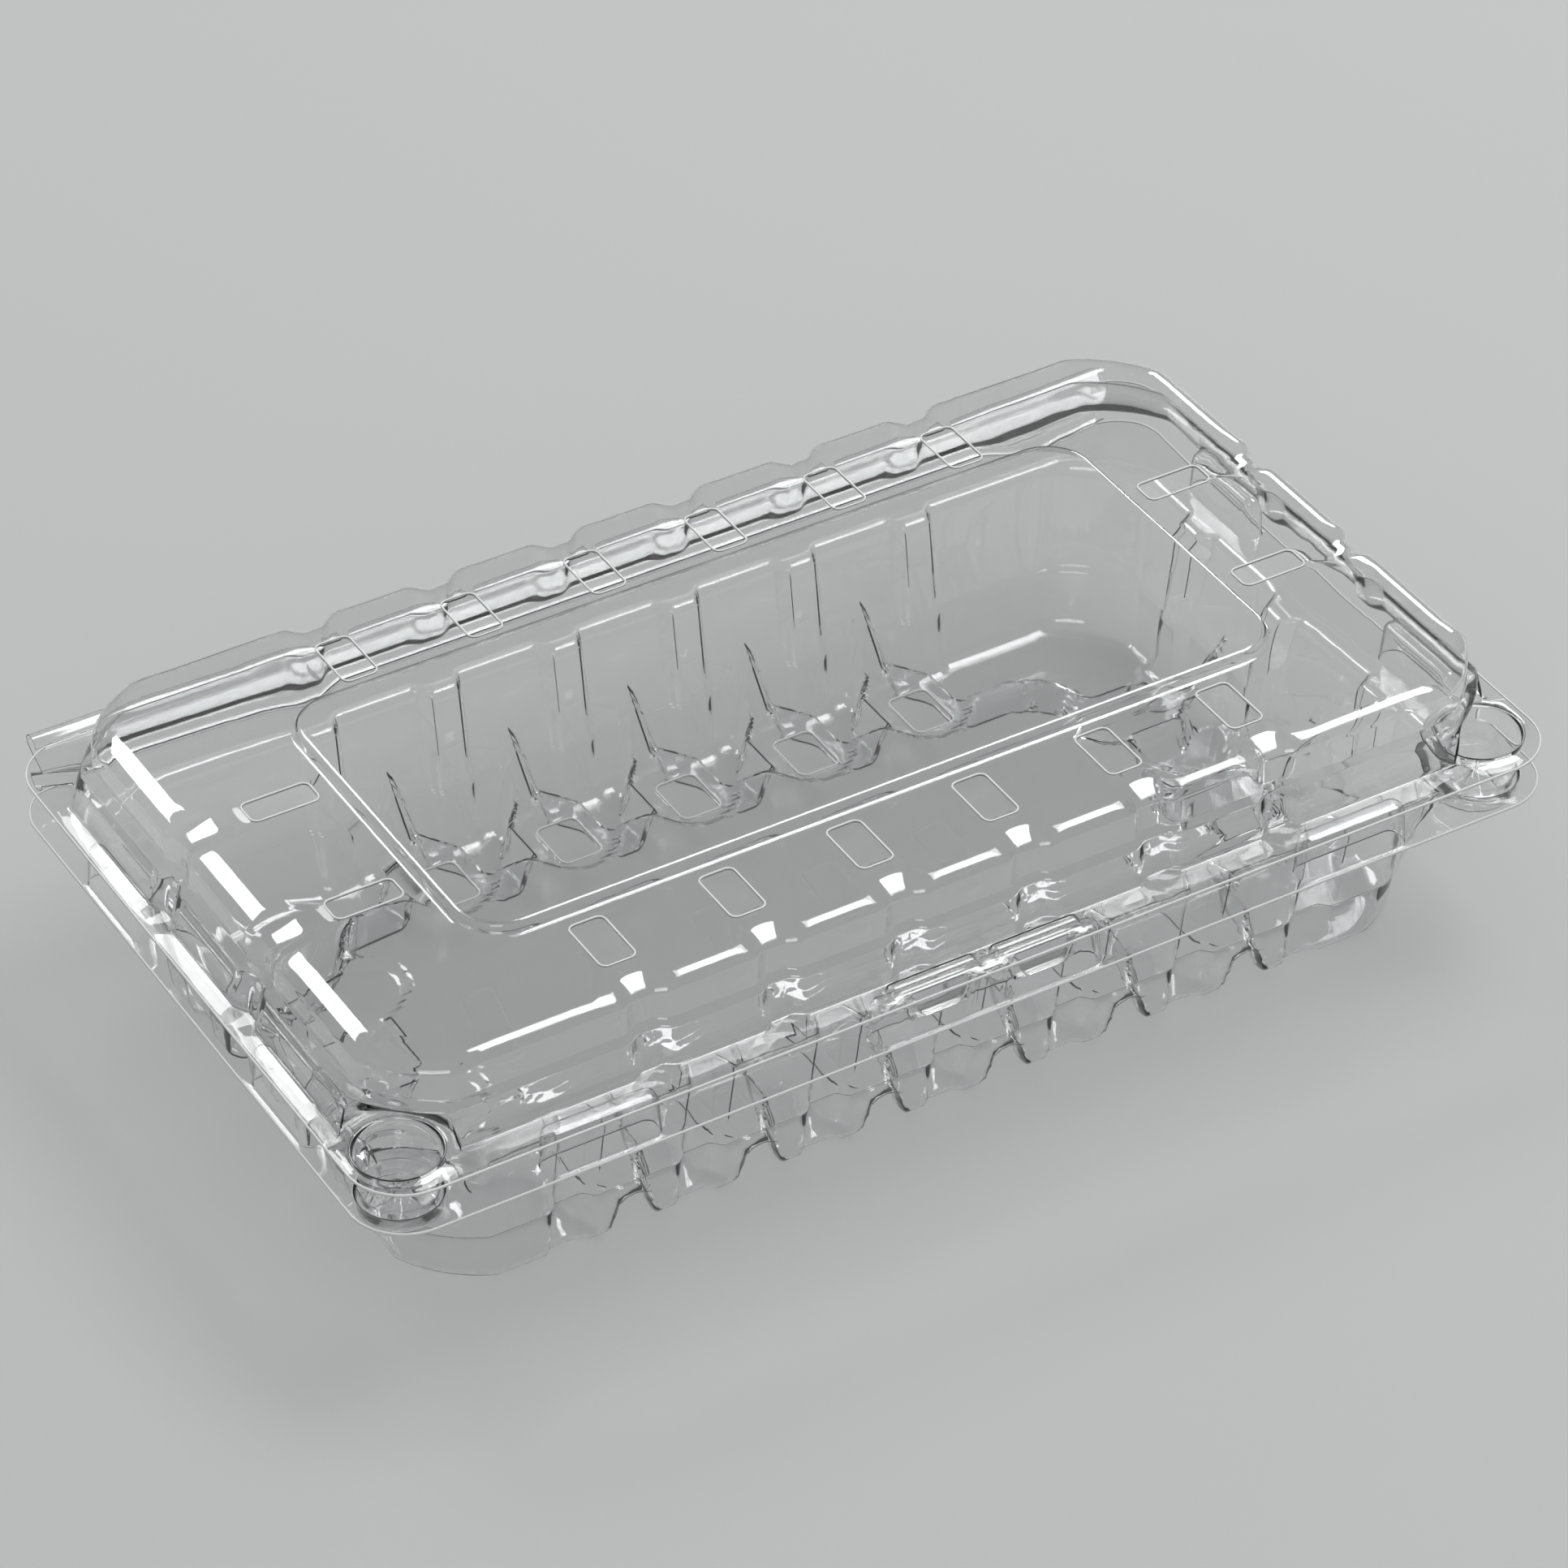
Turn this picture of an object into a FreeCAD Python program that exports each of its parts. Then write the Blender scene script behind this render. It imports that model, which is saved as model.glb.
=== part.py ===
"""Clear thermoformed fruit pack: a fluted tray on feet, a domed vented lid and the folding web between them."""
import FreeCAD
import Part
import math
import os

os.makedirs("parts", exist_ok=True)
V = FreeCAD.Vector

# Sizes in millimetres. The ground is z = 0, the front is -Y and the folding edge is at the back, +Y.
sheet = 0.45               # wall of the clear sheet after forming
pitch = 28.0               # spacing of the flutes and vents along the pack
side_pitch = 35.0          # spacing of the lid's flutes along the short sides
tray_side_pitch = 33.0     # spacing of the tray's flutes along the short sides

# Flanges
flange_len = 265.0
flange_wid = 156.0
flange_corner = 12.0
flange_gap = 9.0           # open air between the two flanges
rest_gap = 0.25            # running clearance between lid and tray where they meet

# Tray
tray_depth = 37.0          # ground to the top face of the tray's flange
tray_ledge_len = 11.5      # flange edge to the tray wall, at the short sides
tray_ledge_wid = 10.5      # the same at the long sides
tray_draft = 6.5           # how far the tray wall leans in from the flange to its foot
foot_radius = 4.0          # rounding between wall and ground
tray_corner = 17.0         # how far the tray's corner facets reach along each side
tray_flute_depth = 2.4     # flutes of the tray wall, at the flange
tray_flute_foot = 0.8      # the same flutes at the foot
tray_flute_wid = 6.4       # flat bottom of a flute
tray_flute_jog = 2.2       # slanted side of a flute
lobe_len = 26.5            # room for the feet between the tray's foot and the raised floor, at the short sides
lobe_wid = 26.0            # the same at the long sides
plateau_rise = 10.5        # underside of the raised floor above the ground
plateau_corner = 12.0
plateau_draft = 2.0
tongue_drop = 1.4          # step down from the plateau to each bridge
tongue_wid = 19.0          # bridge between two feet
bridge_reach = 8.0         # how far a bridge runs into the plateau
fin_top = 20.0             # peak of the pointed fins on the wall, above the ground
fin_peak_wid = 1.6
fin_root = 9.0             # how far a fin runs in from the wall
fin_base_wid = 13.0
front_mouth_top = 9.6       # top of the low arches in the front wall, above the ground
front_mouth_peak_wid = 4.0
front_mouth_base_wid = 11.0
floor_slot_len = 12.5      # vent in each back bridge
floor_slot_wid = 9.0
floor_slot_out = 4.0       # raised floor's edge to the middle of a vent
cut_overrun = 1.0          # how far a cutter runs past what it cuts

# Lid: each step gives how far the wall leans in from the step below it
lid_rise = 17.9            # top face of the lid's flange to its top plate
lid_ledge_len = 4.0        # flange edge to the foot of the lid wall, at the short sides
lid_ledge_wid = 7.5        # the same at the long sides
lid_wall_z = 8.2           # height of the small step in the wall above the flange's top face
lid_wall_lean_len = 2.0
lid_wall_lean_wid = 1.0
lid_brow_z = 9.3
lid_brow_lean_len = 2.0
lid_brow_lean_wid = 1.5
lid_shoulder_z = 14.6      # start of the rounded shoulder
lid_shoulder_len = 6.5     # how far the shoulder rounds over, at the short sides
lid_shoulder_wid = 3.25
lid_corner = 14.0          # corner facets of the lid
lid_flute_depth = 1.7      # flutes of the lid wall
lid_flute_scoop = 4.2      # the same flutes where they cut into the shoulder
lid_flute_wid = 3.6
lid_flute_jog = 3.2
panel_margin_len = 27.5    # edge of the top plate to the raised label panel, at the short sides
panel_margin_wid = 24.25
panel_rise = 2.2
panel_corner = 10.0
panel_draft = 0.6
vent_len = 13.4            # vents along the front and back
vent_wid = 7.3
vent_margin = 13.85        # edge of the top plate to the middle of a long side's vents
vent_corner = 1.8
side_vent_len = 14.3       # vents by the short sides
side_vent_wid = 6.0
side_vent_margin = 15.9
side_vent_y = 17.1

# Snap buttons at the two front corners
button_in_len = 11.3       # flange edge to the middle of a button, at the short sides
button_in_wid = 13.3       # the same at the front
button_rim_r = 9.2         # outside of the lid's cup at the flange
button_tip_r = 7.4         # outside of the lid's cup at its bottom
button_bite = 3.2          # how far the lid's cup enters the tray's cup
socket_depth = 5.0
wall_relief = 2.4          # room between a cup and the wall that goes round it

# Spacer pads on the tray's flange, and the latch in the middle of the front
pad_inset = 1.2            # flange edge to the pad's face
pad_wid = 5.6
pad_draft = 0.5
front_pad_len = 25.0
front_pad_in = 48.5        # flange end to the middle of a front pad
side_pad_len = 23.0
side_pad_in = 43.0         # flange end to the middle of a side pad
latch_len = 51.0
lug_x = 11.5               # lugs of the lid that hang into the latch
lug_wid = 13.0
lug_taper = 3.0
lug_drop = 4.6
lug_depth = 2.6
latch_rib_len = 20.0       # raised ribs on the lid's flange behind the lugs
latch_rib_wid = 3.2
latch_rib_rise = 1.4
latch_rib_in = 5.0         # front edge of the flange to the middle of a rib

# Folding edge along the back
fold_margin = 6.5          # flange end to the end of the beads
bead_r = 2.2               # half-round bead on the back edge of each flange
fold_in = 6.0              # how far the web folds in between the beads

# Derived sizes
tray_mouth_len = flange_len - 2 * tray_ledge_len
tray_mouth_wid = flange_wid - 2 * tray_ledge_wid
tray_foot_len = tray_mouth_len - 2 * tray_draft
tray_foot_wid = tray_mouth_wid - 2 * tray_draft
plateau_len = tray_foot_len - 2 * lobe_len
plateau_wid = tray_foot_wid - 2 * lobe_wid
lid_foot_len = flange_len - 2 * lid_ledge_len
lid_foot_wid = flange_wid - 2 * lid_ledge_wid
lid_wall_len = lid_foot_len - 2 * lid_wall_lean_len
lid_wall_wid = lid_foot_wid - 2 * lid_wall_lean_wid
lid_brow_len = lid_wall_len - 2 * lid_brow_lean_len
lid_brow_wid = lid_wall_wid - 2 * lid_brow_lean_wid
lid_top_len = lid_brow_len - 2 * lid_shoulder_len
lid_top_wid = lid_brow_wid - 2 * lid_shoulder_wid
panel_len = lid_top_len - 2 * panel_margin_len
panel_wid = lid_top_wid - 2 * panel_margin_wid
fold_len = flange_len - 2 * fold_margin

# Whole flutes that fit between the corner facets of the tray's foot
flute_span = 2 * tray_corner + tray_flute_wid + 2 * tray_flute_jog
long_bays = int((tray_foot_len - flute_span) / pitch)
side_bays = int((tray_foot_wid - flute_span) / tray_side_pitch)
lid_side_flutes = int((lid_top_wid - 2 * lid_corner - lid_flute_wid - 2 * lid_flute_jog) / side_pitch)

# Derived heights and places
lid_flange_z = tray_depth + flange_gap
lid_flange_top = lid_flange_z + sheet
lid_top_z = lid_flange_top + lid_rise
vent_row = lid_top_wid / 2 - vent_margin
side_vent_x = lid_top_len / 2 - side_vent_margin
button_x = flange_len / 2 - button_in_len
button_y = button_in_wid - flange_wid / 2
front_pad_x = flange_len / 2 - front_pad_in
side_pad_y = flange_wid / 2 - side_pad_in
latch_rib_y = latch_rib_in - flange_wid / 2
lug_y = (sheet + lug_depth) / 2 - flange_wid / 2
bead_y = flange_wid / 2 + bead_r - sheet
fold_z = tray_depth + flange_gap / 2
origin_y = (bead_y + bead_r - flange_wid / 2) / 2


def wire_of(points):
    """Closed wire through points."""
    return Part.makePolygon([V(*p) for p in points] + [V(*points[0])])


def loft_of(rings):
    """Solid with straight sides between rings of equal count."""
    return Part.makeLoft([wire_of(r) for r in rings], True, True)


def inset(points, d):
    """Plan outline moved inwards by d, corner by corner; the outline runs anticlockwise."""
    out = []
    n = len(points)
    for i in range(n):
        ax, ay, az = points[i - 1]
        bx, by, bz = points[i]
        cx, cy, cz = points[(i + 1) % n]
        ux, uy = bx - ax, by - ay
        vx, vy = cx - bx, cy - by
        lu = math.hypot(ux, uy)
        lv = math.hypot(vx, vy)
        nx = -uy / lu - vy / lv
        ny = ux / lu + vx / lv
        k = 2 * d / (nx * nx + ny * ny)
        out.append((bx + nx * k, by + ny * k, bz))
    return out


def lift(points, dz):
    """The same outline at another height."""
    return [(x, y, z + dz) for x, y, z in points]


def fluted_side(places, depth, wid, jog):
    """Points along one side, as (along, out) pairs; out is negative in a flute."""
    pts = []
    for c in places:
        pts += [(c - wid / 2 - jog, 0.0), (c - wid / 2, -depth), (c + wid / 2, -depth), (c + wid / 2 + jog, 0.0)]
    return pts


def facet_corner(hx, hy, cut, count=7):
    """Points of one rounded corner in the first quarter, from the +X side to the +Y side."""
    pts = []
    for i in range(count):
        a = math.pi / 2 * i / (count - 1)
        s = i / (count - 1)
        straight = (hx - cut * s, hy - cut * (1 - s))
        bulge = (hx - cut + cut * math.cos(a), hy - cut + cut * math.sin(a))
        pts.append((0.55 * straight[0] + 0.45 * bulge[0], 0.55 * straight[1] + 0.45 * bulge[1]))
    return pts


def cup_corner(hx, hy, count=7):
    """Points of a front corner that goes round a snap button, from the +X side to the front."""
    r = button_rim_r + wall_relief
    first = math.acos((hx - button_x) / r)
    last = math.pi + math.asin((hy + button_y) / r)
    pts = []
    for i in range(count):
        a = first + (last - first) * i / (count - 1)
        pts.append((button_x + r * math.cos(a), -button_y - r * math.sin(a)))
    return pts


def ring(length, width, z, front, back, side, flute, front_corner, back_corner):
    """One plan outline, anticlockwise from the front right. flute is (depth, flat, jog)."""
    hx = length / 2
    hy = width / 2
    depth, wid, jog = flute
    pts = [(a, -hy - o) for a, o in fluted_side(front, depth, wid, jog)]
    right_front = [(x, -y) for x, y in reversed(front_corner(hx, hy))]
    pts += right_front
    pts += [(hx + o, a) for a, o in fluted_side(side, depth, wid, jog)]
    pts += back_corner(hx, hy)
    pts += [(-a, hy + o) for a, o in fluted_side([-c for c in reversed(back)], depth, wid, jog)]
    pts += [(-x, y) for x, y in reversed(back_corner(hx, hy))]
    pts += [(-hx - o, -a) for a, o in fluted_side([-c for c in reversed(side)], depth, wid, jog)]
    pts += [(-x, -y) for x, y in front_corner(hx, hy)]
    return [(x, y, z) for x, y in pts]


def rounded_plate(length, width, radius, z0, z1, x=0.0, y=0.0):
    """Upright prism on a rectangle with rounded corners."""
    hx = length / 2
    hy = width / 2
    box = Part.makeBox(length, width, z1 - z0, V(x - hx, y - hy, z0))
    upright = [e for e in box.Edges if abs(e.tangentAt(e.FirstParameter).z) > 0.9]
    return box.makeFillet(radius, upright)


def rounded_ring(length, width, radius, z, x=0.0, y=0.0, count=5):
    """Rounded rectangle as a list of points."""
    pts = []
    for k, (sx, sy) in enumerate([(1, -1), (1, 1), (-1, 1), (-1, -1)]):
        cx = x + sx * (length / 2 - radius)
        cy = y + sy * (width / 2 - radius)
        for i in range(count):
            a = math.radians(-90 + 90 * k + 90 * i / (count - 1))
            pts.append((cx + radius * math.cos(a), cy + radius * math.sin(a), z))
    return pts


def tapered_plate(length, width, radius, draft, z0, z1, x=0.0, y=0.0):
    """Drafted prism on a rounded rectangle; the upper outline is smaller by draft on each side."""
    low = rounded_ring(length, width, radius, z0, x, y)
    high = rounded_ring(length - 2 * draft, width - 2 * draft, max(radius - draft, 0.2), z1, x, y)
    return loft_of([low, high])


def bay_places(count, spacing):
    """Centres of count features spread evenly about the middle."""
    return [(i - (count - 1) / 2) * spacing for i in range(count)]


def lid_rings():
    """Outlines of the lid's dome from its flange to the top plate."""
    along = bay_places(long_bays, pitch)
    side = bay_places(lid_side_flutes, side_pitch)
    z = lid_flange_z
    top = lid_top_z

    def level(length, width, height, depth, front_corner):
        flute = (depth, lid_flute_wid, lid_flute_jog)
        return ring(length, width, height, along, along, side, flute, front_corner, facet)

    def facet(hx, hy):
        return facet_corner(hx, hy, lid_corner)

    rise = lid_rise
    d = lid_flute_depth
    scoop = lid_flute_scoop
    drop = rise - lid_shoulder_z
    rings = [
        level(lid_foot_len, lid_foot_wid, z, d, cup_corner),
        level(lid_wall_len, lid_wall_wid, lid_flange_top + lid_wall_z, d, facet),
        level(lid_brow_len, lid_brow_wid, lid_flange_top + lid_brow_z, d, facet),
    ]
    for i in range(4):
        a = math.pi / 2 * i / 3
        k = math.sin(a)
        shrink = 1 - math.cos(a)
        length = lid_brow_len - (lid_brow_len - lid_top_len) * shrink
        width = lid_brow_wid - (lid_brow_wid - lid_top_wid) * shrink
        rings.append(level(length, width, top - drop * (1 - k), d + (scoop - d) * shrink, facet))
    return rings


def vents():
    """Cutters for the openings in the lid's top plate."""
    z0 = lid_top_z - 3 * sheet
    z1 = lid_top_z + sheet
    cutters = []
    for x in bay_places(long_bays, pitch):
        for y in (-vent_row, vent_row):
            cutters.append(rounded_plate(vent_wid, vent_len, vent_corner, z0, z1, x, y))
    for x in (-side_vent_x, side_vent_x):
        for y in (-side_vent_y, side_vent_y):
            cutters.append(rounded_plate(side_vent_len, side_vent_wid, vent_corner, z0, z1, x, y))
    return cutters


def cup(x, y, rim_r, tip_r, z_rim, depth, wall):
    """A round cup that hangs from z_rim, as a pair: outer solid and hollow."""
    outer = Part.makeCone(tip_r, rim_r, depth, V(x, y, z_rim - depth), V(0, 0, 1))
    slope = (rim_r - tip_r) / depth
    inner = Part.makeCone(tip_r - wall, rim_r - wall + slope * wall, depth, V(x, y, z_rim - depth + wall), V(0, 0, 1))
    return outer, inner


def flange(z0, thick):
    """Flat flange plate with rounded corners."""
    return rounded_plate(flange_len, flange_wid, flange_corner, z0, z0 + thick)


def half_bead(z, up):
    """Half-round hollow bead along the back edge of a flange whose middle plane is at z."""
    sign = 1 if up else -1
    outer = Part.makeCylinder(bead_r, fold_len, V(-fold_len / 2, bead_y, z), V(1, 0, 0))
    bore = Part.makeCylinder(bead_r - sheet, fold_len, V(-fold_len / 2, bead_y, z), V(1, 0, 0))
    half = Part.makeBox(fold_len, 2 * bead_r, bead_r, V(-fold_len / 2, bead_y - bead_r, z if up else z - bead_r))
    return outer.common(half).cut(bore)


def make_lid():
    """Lid: flange, fluted dome, raised label panel, vents, cups, latch lugs and back bead."""
    rings = lid_rings()
    outer = loft_of(rings)
    hollow_rings = [lift(inset(r, sheet), -sheet) for r in rings]
    hollow_rings[0] = lift(hollow_rings[0], -sheet)
    hollow = loft_of(hollow_rings)
    panel = tapered_plate(panel_len, panel_wid, panel_corner, panel_draft, lid_top_z - sheet, lid_top_z + panel_rise)
    panel_in = tapered_plate(
        panel_len - 2 * sheet, panel_wid - 2 * sheet, panel_corner - sheet, panel_draft,
        lid_top_z - 2 * sheet, lid_top_z + panel_rise - sheet)
    body = outer.fuse([flange(lid_flange_z, sheet), panel])
    cuts = [hollow, panel_in] + vents()
    depth = flange_gap + button_bite
    for sx in (-1, 1):
        out, void = cup(sx * button_x, button_y, button_rim_r, button_tip_r, lid_flange_top, depth + sheet, sheet)
        body = body.fuse(out)
        cuts.append(void)
    for sx in (-1, 1):
        x = sx * lug_x
        rib = tapered_plate(
            latch_rib_len, latch_rib_wid, latch_rib_wid / 2.2, pad_draft,
            lid_flange_z, lid_flange_top + latch_rib_rise, x, latch_rib_y)
        rib_in = tapered_plate(
            latch_rib_len - 2 * sheet, latch_rib_wid - 2 * sheet, latch_rib_wid / 2.2 - sheet, pad_draft,
            lid_flange_z - sheet, lid_flange_z + latch_rib_rise, x, latch_rib_y)
        body = body.fuse(rib)
        cuts.append(rib_in)
        lug, lug_in = latch_lug(x)
        body = body.fuse(lug)
        cuts.append(lug_in)
    body = body.cut(cuts)
    return body.fuse(half_bead(lid_flange_z, True)).removeSplitter()


def latch_lug(x):
    """A lug that hangs from the lid's front edge into the tray's latch, as a pair: outer solid and hollow."""
    depth_low = lug_depth - 2 * sheet
    low = rounded_ring(lug_wid - lug_taper, depth_low, depth_low / 3, lid_flange_top - lug_drop, x, lug_y)
    high = rounded_ring(lug_wid, lug_depth, lug_depth / 3, lid_flange_top, x, lug_y)
    outer = loft_of([low, high])
    low_in = lift(inset(low, sheet * 0.6), sheet)
    high_in = lift(inset(high, sheet), sheet)
    return outer, loft_of([low_in, high_in])


def latch_notch(x, grow):
    """The recess in the latch that takes one lug, thickened by grow."""
    wid = lug_wid + 2 * (2 * rest_gap + grow)
    back = lug_y + lug_depth / 2 + 2 * rest_gap + grow
    front = -flange_wid / 2
    floor = lid_flange_top - lug_drop - 2 * rest_gap - grow
    bottom = [(x - wid / 2 + lug_taper / 2, front, floor), (x + wid / 2 - lug_taper / 2, front, floor),
              (x + wid / 2 - lug_taper / 2, back, floor), (x - wid / 2 + lug_taper / 2, back, floor)]
    top_z = lid_flange_top
    top = [(x - wid / 2, front, top_z), (x + wid / 2, front, top_z), (x + wid / 2, back, top_z),
           (x - wid / 2, back, top_z)]
    return loft_of([bottom, top])


def tray_rings():
    """Outlines of the tray from under its flange to the ground."""
    front = bay_places(long_bays + 1, pitch)
    back = bay_places(long_bays, pitch)
    side = bay_places(side_bays + 1, tray_side_pitch)

    def facet(hx, hy):
        return facet_corner(hx, hy, tray_corner)

    def level(s, shrink, z, front_corner, depth):
        length = tray_mouth_len + (tray_foot_len - tray_mouth_len) * s - 2 * shrink
        width = tray_mouth_wid + (tray_foot_wid - tray_mouth_wid) * s - 2 * shrink
        flute = (depth, tray_flute_wid, tray_flute_jog)
        return ring(length, width, z, front, back, side, flute, front_corner, facet)

    top = tray_depth
    mid_z = tray_depth - socket_depth - 3.0
    s_mid = (top - mid_z) / (top - foot_radius)
    d_mid = tray_flute_depth + (tray_flute_foot - tray_flute_depth) * s_mid
    rings = [
        level(0.0, 0.0, top, cup_corner, tray_flute_depth),
        level(s_mid, 0.0, mid_z, facet, d_mid),
        level(1.0, 0.0, foot_radius, facet, tray_flute_foot),
    ]
    for i in (1, 2):
        a = math.pi / 2 * i / 2
        shrink = foot_radius * (1 - math.cos(a))
        rings.append(level(1.0, shrink, foot_radius * (1 - math.sin(a)), facet, tray_flute_foot))
    return rings


def tunnel(grow, mouth, reach_wall, reach_in, dx, dy, cx, cy):
    """A mouth (peak, peak width, base width) that runs in from the wall into a flat bridge; grow thickens it."""
    top = plateau_rise - tongue_drop + grow
    peak_z, peak_wid, base_wid = mouth
    peak = peak_z + grow
    base = base_wid / 2 + grow
    tongue = tongue_wid / 2 + grow
    low = 0.0

    def section(dist, half_low, half_high, height):
        pts = []
        for a, z in ((-half_low, low), (half_low, low), (half_high, height), (-half_high, height)):
            pts.append((cx + dx * dist + dy * a, cy + dy * dist + dx * a, z))
        return pts

    tip = peak_wid / 2 + grow
    fin = loft_of([
        section(reach_wall, base, tip, peak),
        section(reach_wall - fin_root - grow, tongue * 0.8, tongue * 0.62, top)])
    bridge = loft_of([
        section(reach_wall - fin_root * 0.55, tongue * 0.8, tongue * 0.62, top),
        section(reach_in, tongue, tongue * 0.85, top)])
    return fin, bridge


def underside(grow):
    """Everything that the floor leaves open to the ground, thickened by grow: middle, fins and bridges."""
    plate = tapered_plate(
        plateau_len + 2 * grow, plateau_wid + 2 * grow, plateau_corner + grow, plateau_draft,
        0.0, plateau_rise + grow)
    solids = [plate]
    wall_y = tray_foot_wid / 2
    wall_x = tray_foot_len / 2
    in_y = plateau_wid / 2 - bridge_reach
    in_x = plateau_len / 2 - bridge_reach
    slope = (tray_mouth_wid - tray_foot_wid) / 2 / (tray_depth - foot_radius)
    pointed = (fin_top, fin_peak_wid, fin_base_wid)
    arched = (front_mouth_top, front_mouth_peak_wid, front_mouth_base_wid)
    front_y = wall_y + slope * (front_mouth_top - foot_radius) + cut_overrun
    out_y = wall_y + slope * (fin_top - foot_radius) + cut_overrun
    out_x = wall_x + slope * (fin_top - foot_radius) + cut_overrun
    for x in bay_places(long_bays, pitch):
        solids += tunnel(grow, arched, front_y, in_y, 0, -1, x, 0)
    for x in bay_places(long_bays - 1, pitch):
        solids += tunnel(grow, pointed, out_y, in_y, 0, 1, x, 0)
    for y in bay_places(side_bays, tray_side_pitch):
        for sx in (-1, 1):
            solids += tunnel(grow, pointed, out_x, in_x, sx, 0, 0, y)
    return solids


def floor_slots():
    """Cutters for the vents in the back bridges."""
    cutters = []
    y = plateau_wid / 2 + floor_slot_out
    for x in bay_places(long_bays - 1, pitch):
        z0 = plateau_rise - tongue_drop - cut_overrun
        z1 = plateau_rise + sheet + cut_overrun
        cutters.append(rounded_plate(floor_slot_wid, floor_slot_len, vent_corner, z0, z1, x, y))
    return cutters


def pad(length, width, x, y):
    """A spacer pad as a pair: outer solid and hollow."""
    z1 = lid_flange_z - rest_gap
    r = min(length, width) / 2.3
    outer = tapered_plate(length, width, r, pad_draft, tray_depth - sheet, z1, x, y)
    hollow = tapered_plate(
        length - 2 * sheet, width - 2 * sheet, r - sheet, pad_draft,
        tray_depth - 2 * sheet, z1 - sheet, x, y)
    return outer, hollow


def make_tray():
    """Tray: fluted walls, feet, bridges with vents, flange, pads, sockets and back bead."""
    rings = tray_rings()
    outer = loft_of(rings)
    hollow_rings = [lift(inset(r, sheet), sheet) for r in rings]
    hollow = loft_of(hollow_rings)
    outer = outer.cut(underside(0.0))
    hollow = hollow.cut(underside(sheet))
    body = outer.fuse(flange(tray_depth - sheet, sheet))
    cuts = [hollow] + floor_slots()
    solids = []
    y = -flange_wid / 2 + pad_inset + pad_wid / 2
    for x in (-front_pad_x, front_pad_x):
        solids.append(pad(front_pad_len, pad_wid, x, y))
    latch, latch_in = pad(latch_len, pad_wid, 0.0, y)
    latch = latch.cut([latch_notch(sx * lug_x, 0.0) for sx in (-1, 1)])
    latch_in = latch_in.cut([latch_notch(sx * lug_x, sheet) for sx in (-1, 1)])
    solids.append((latch, latch_in))
    x = flange_len / 2 - pad_inset - pad_wid / 2
    for sx in (-1, 1):
        for py in (-side_pad_y, side_pad_y):
            solids.append(pad(pad_wid, side_pad_len, sx * x, py))
        reach = button_tip_r + (button_rim_r - button_tip_r) * button_bite / (flange_gap + button_bite)
        solids.append(cup(
            sx * button_x, button_y, reach + rest_gap + sheet, button_tip_r + rest_gap + sheet,
            tray_depth, socket_depth, sheet))
    body = body.fuse([s[0] for s in solids])
    body = body.cut(cuts + [s[1] for s in solids])
    return body.fuse(half_bead(tray_depth, False)).removeSplitter()


def make_web():
    """Folding web: the sheet that dips in between the two beads."""
    y = bead_y + bead_r
    z0 = tray_depth + rest_gap
    z1 = lid_flange_z - rest_gap
    zm = fold_z
    t = sheet
    pts = [(y - t, z0), (y, z0), (y - fold_in + t, zm), (y, z1), (y - t, z1), (y - fold_in, zm)]
    wire = Part.makePolygon([V(-fold_len / 2, a, b) for a, b in pts] + [V(-fold_len / 2, *pts[0])])
    return Part.Face(wire).extrude(V(fold_len, 0, 0))


for name, shape in (("tray", make_tray()), ("lid", make_lid()), ("hinge_web", make_web())):
    shape.translate(V(0, -origin_y, 0))
    print(name, shape.isValid(), len(shape.Solids), round(shape.Volume), len(shape.Faces), shape.BoundBox)
    shape.exportStep("parts/" + name + ".step")
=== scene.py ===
"""Looks of a clear thermoformed fruit pack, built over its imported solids.

The pack is one clear sheet: a fluted tray on moulded feet, a domed lid with vents and a raised label panel,
and a folding web between the two. Lengths are millimetres until a mesh is made. The ground is z = 0, the
front is -Y, and y = 0 of the drawing lies half a bead in front of the frame's middle.
"""

from __future__ import annotations

import logging
import math
from dataclasses import astuple, dataclass, field, replace
from enum import Enum
from typing import Callable, Sequence

import bmesh
import bpy
import numpy as np
from mathutils import Matrix, Vector
from mathutils.geometry import delaunay_2d_cdt

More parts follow.
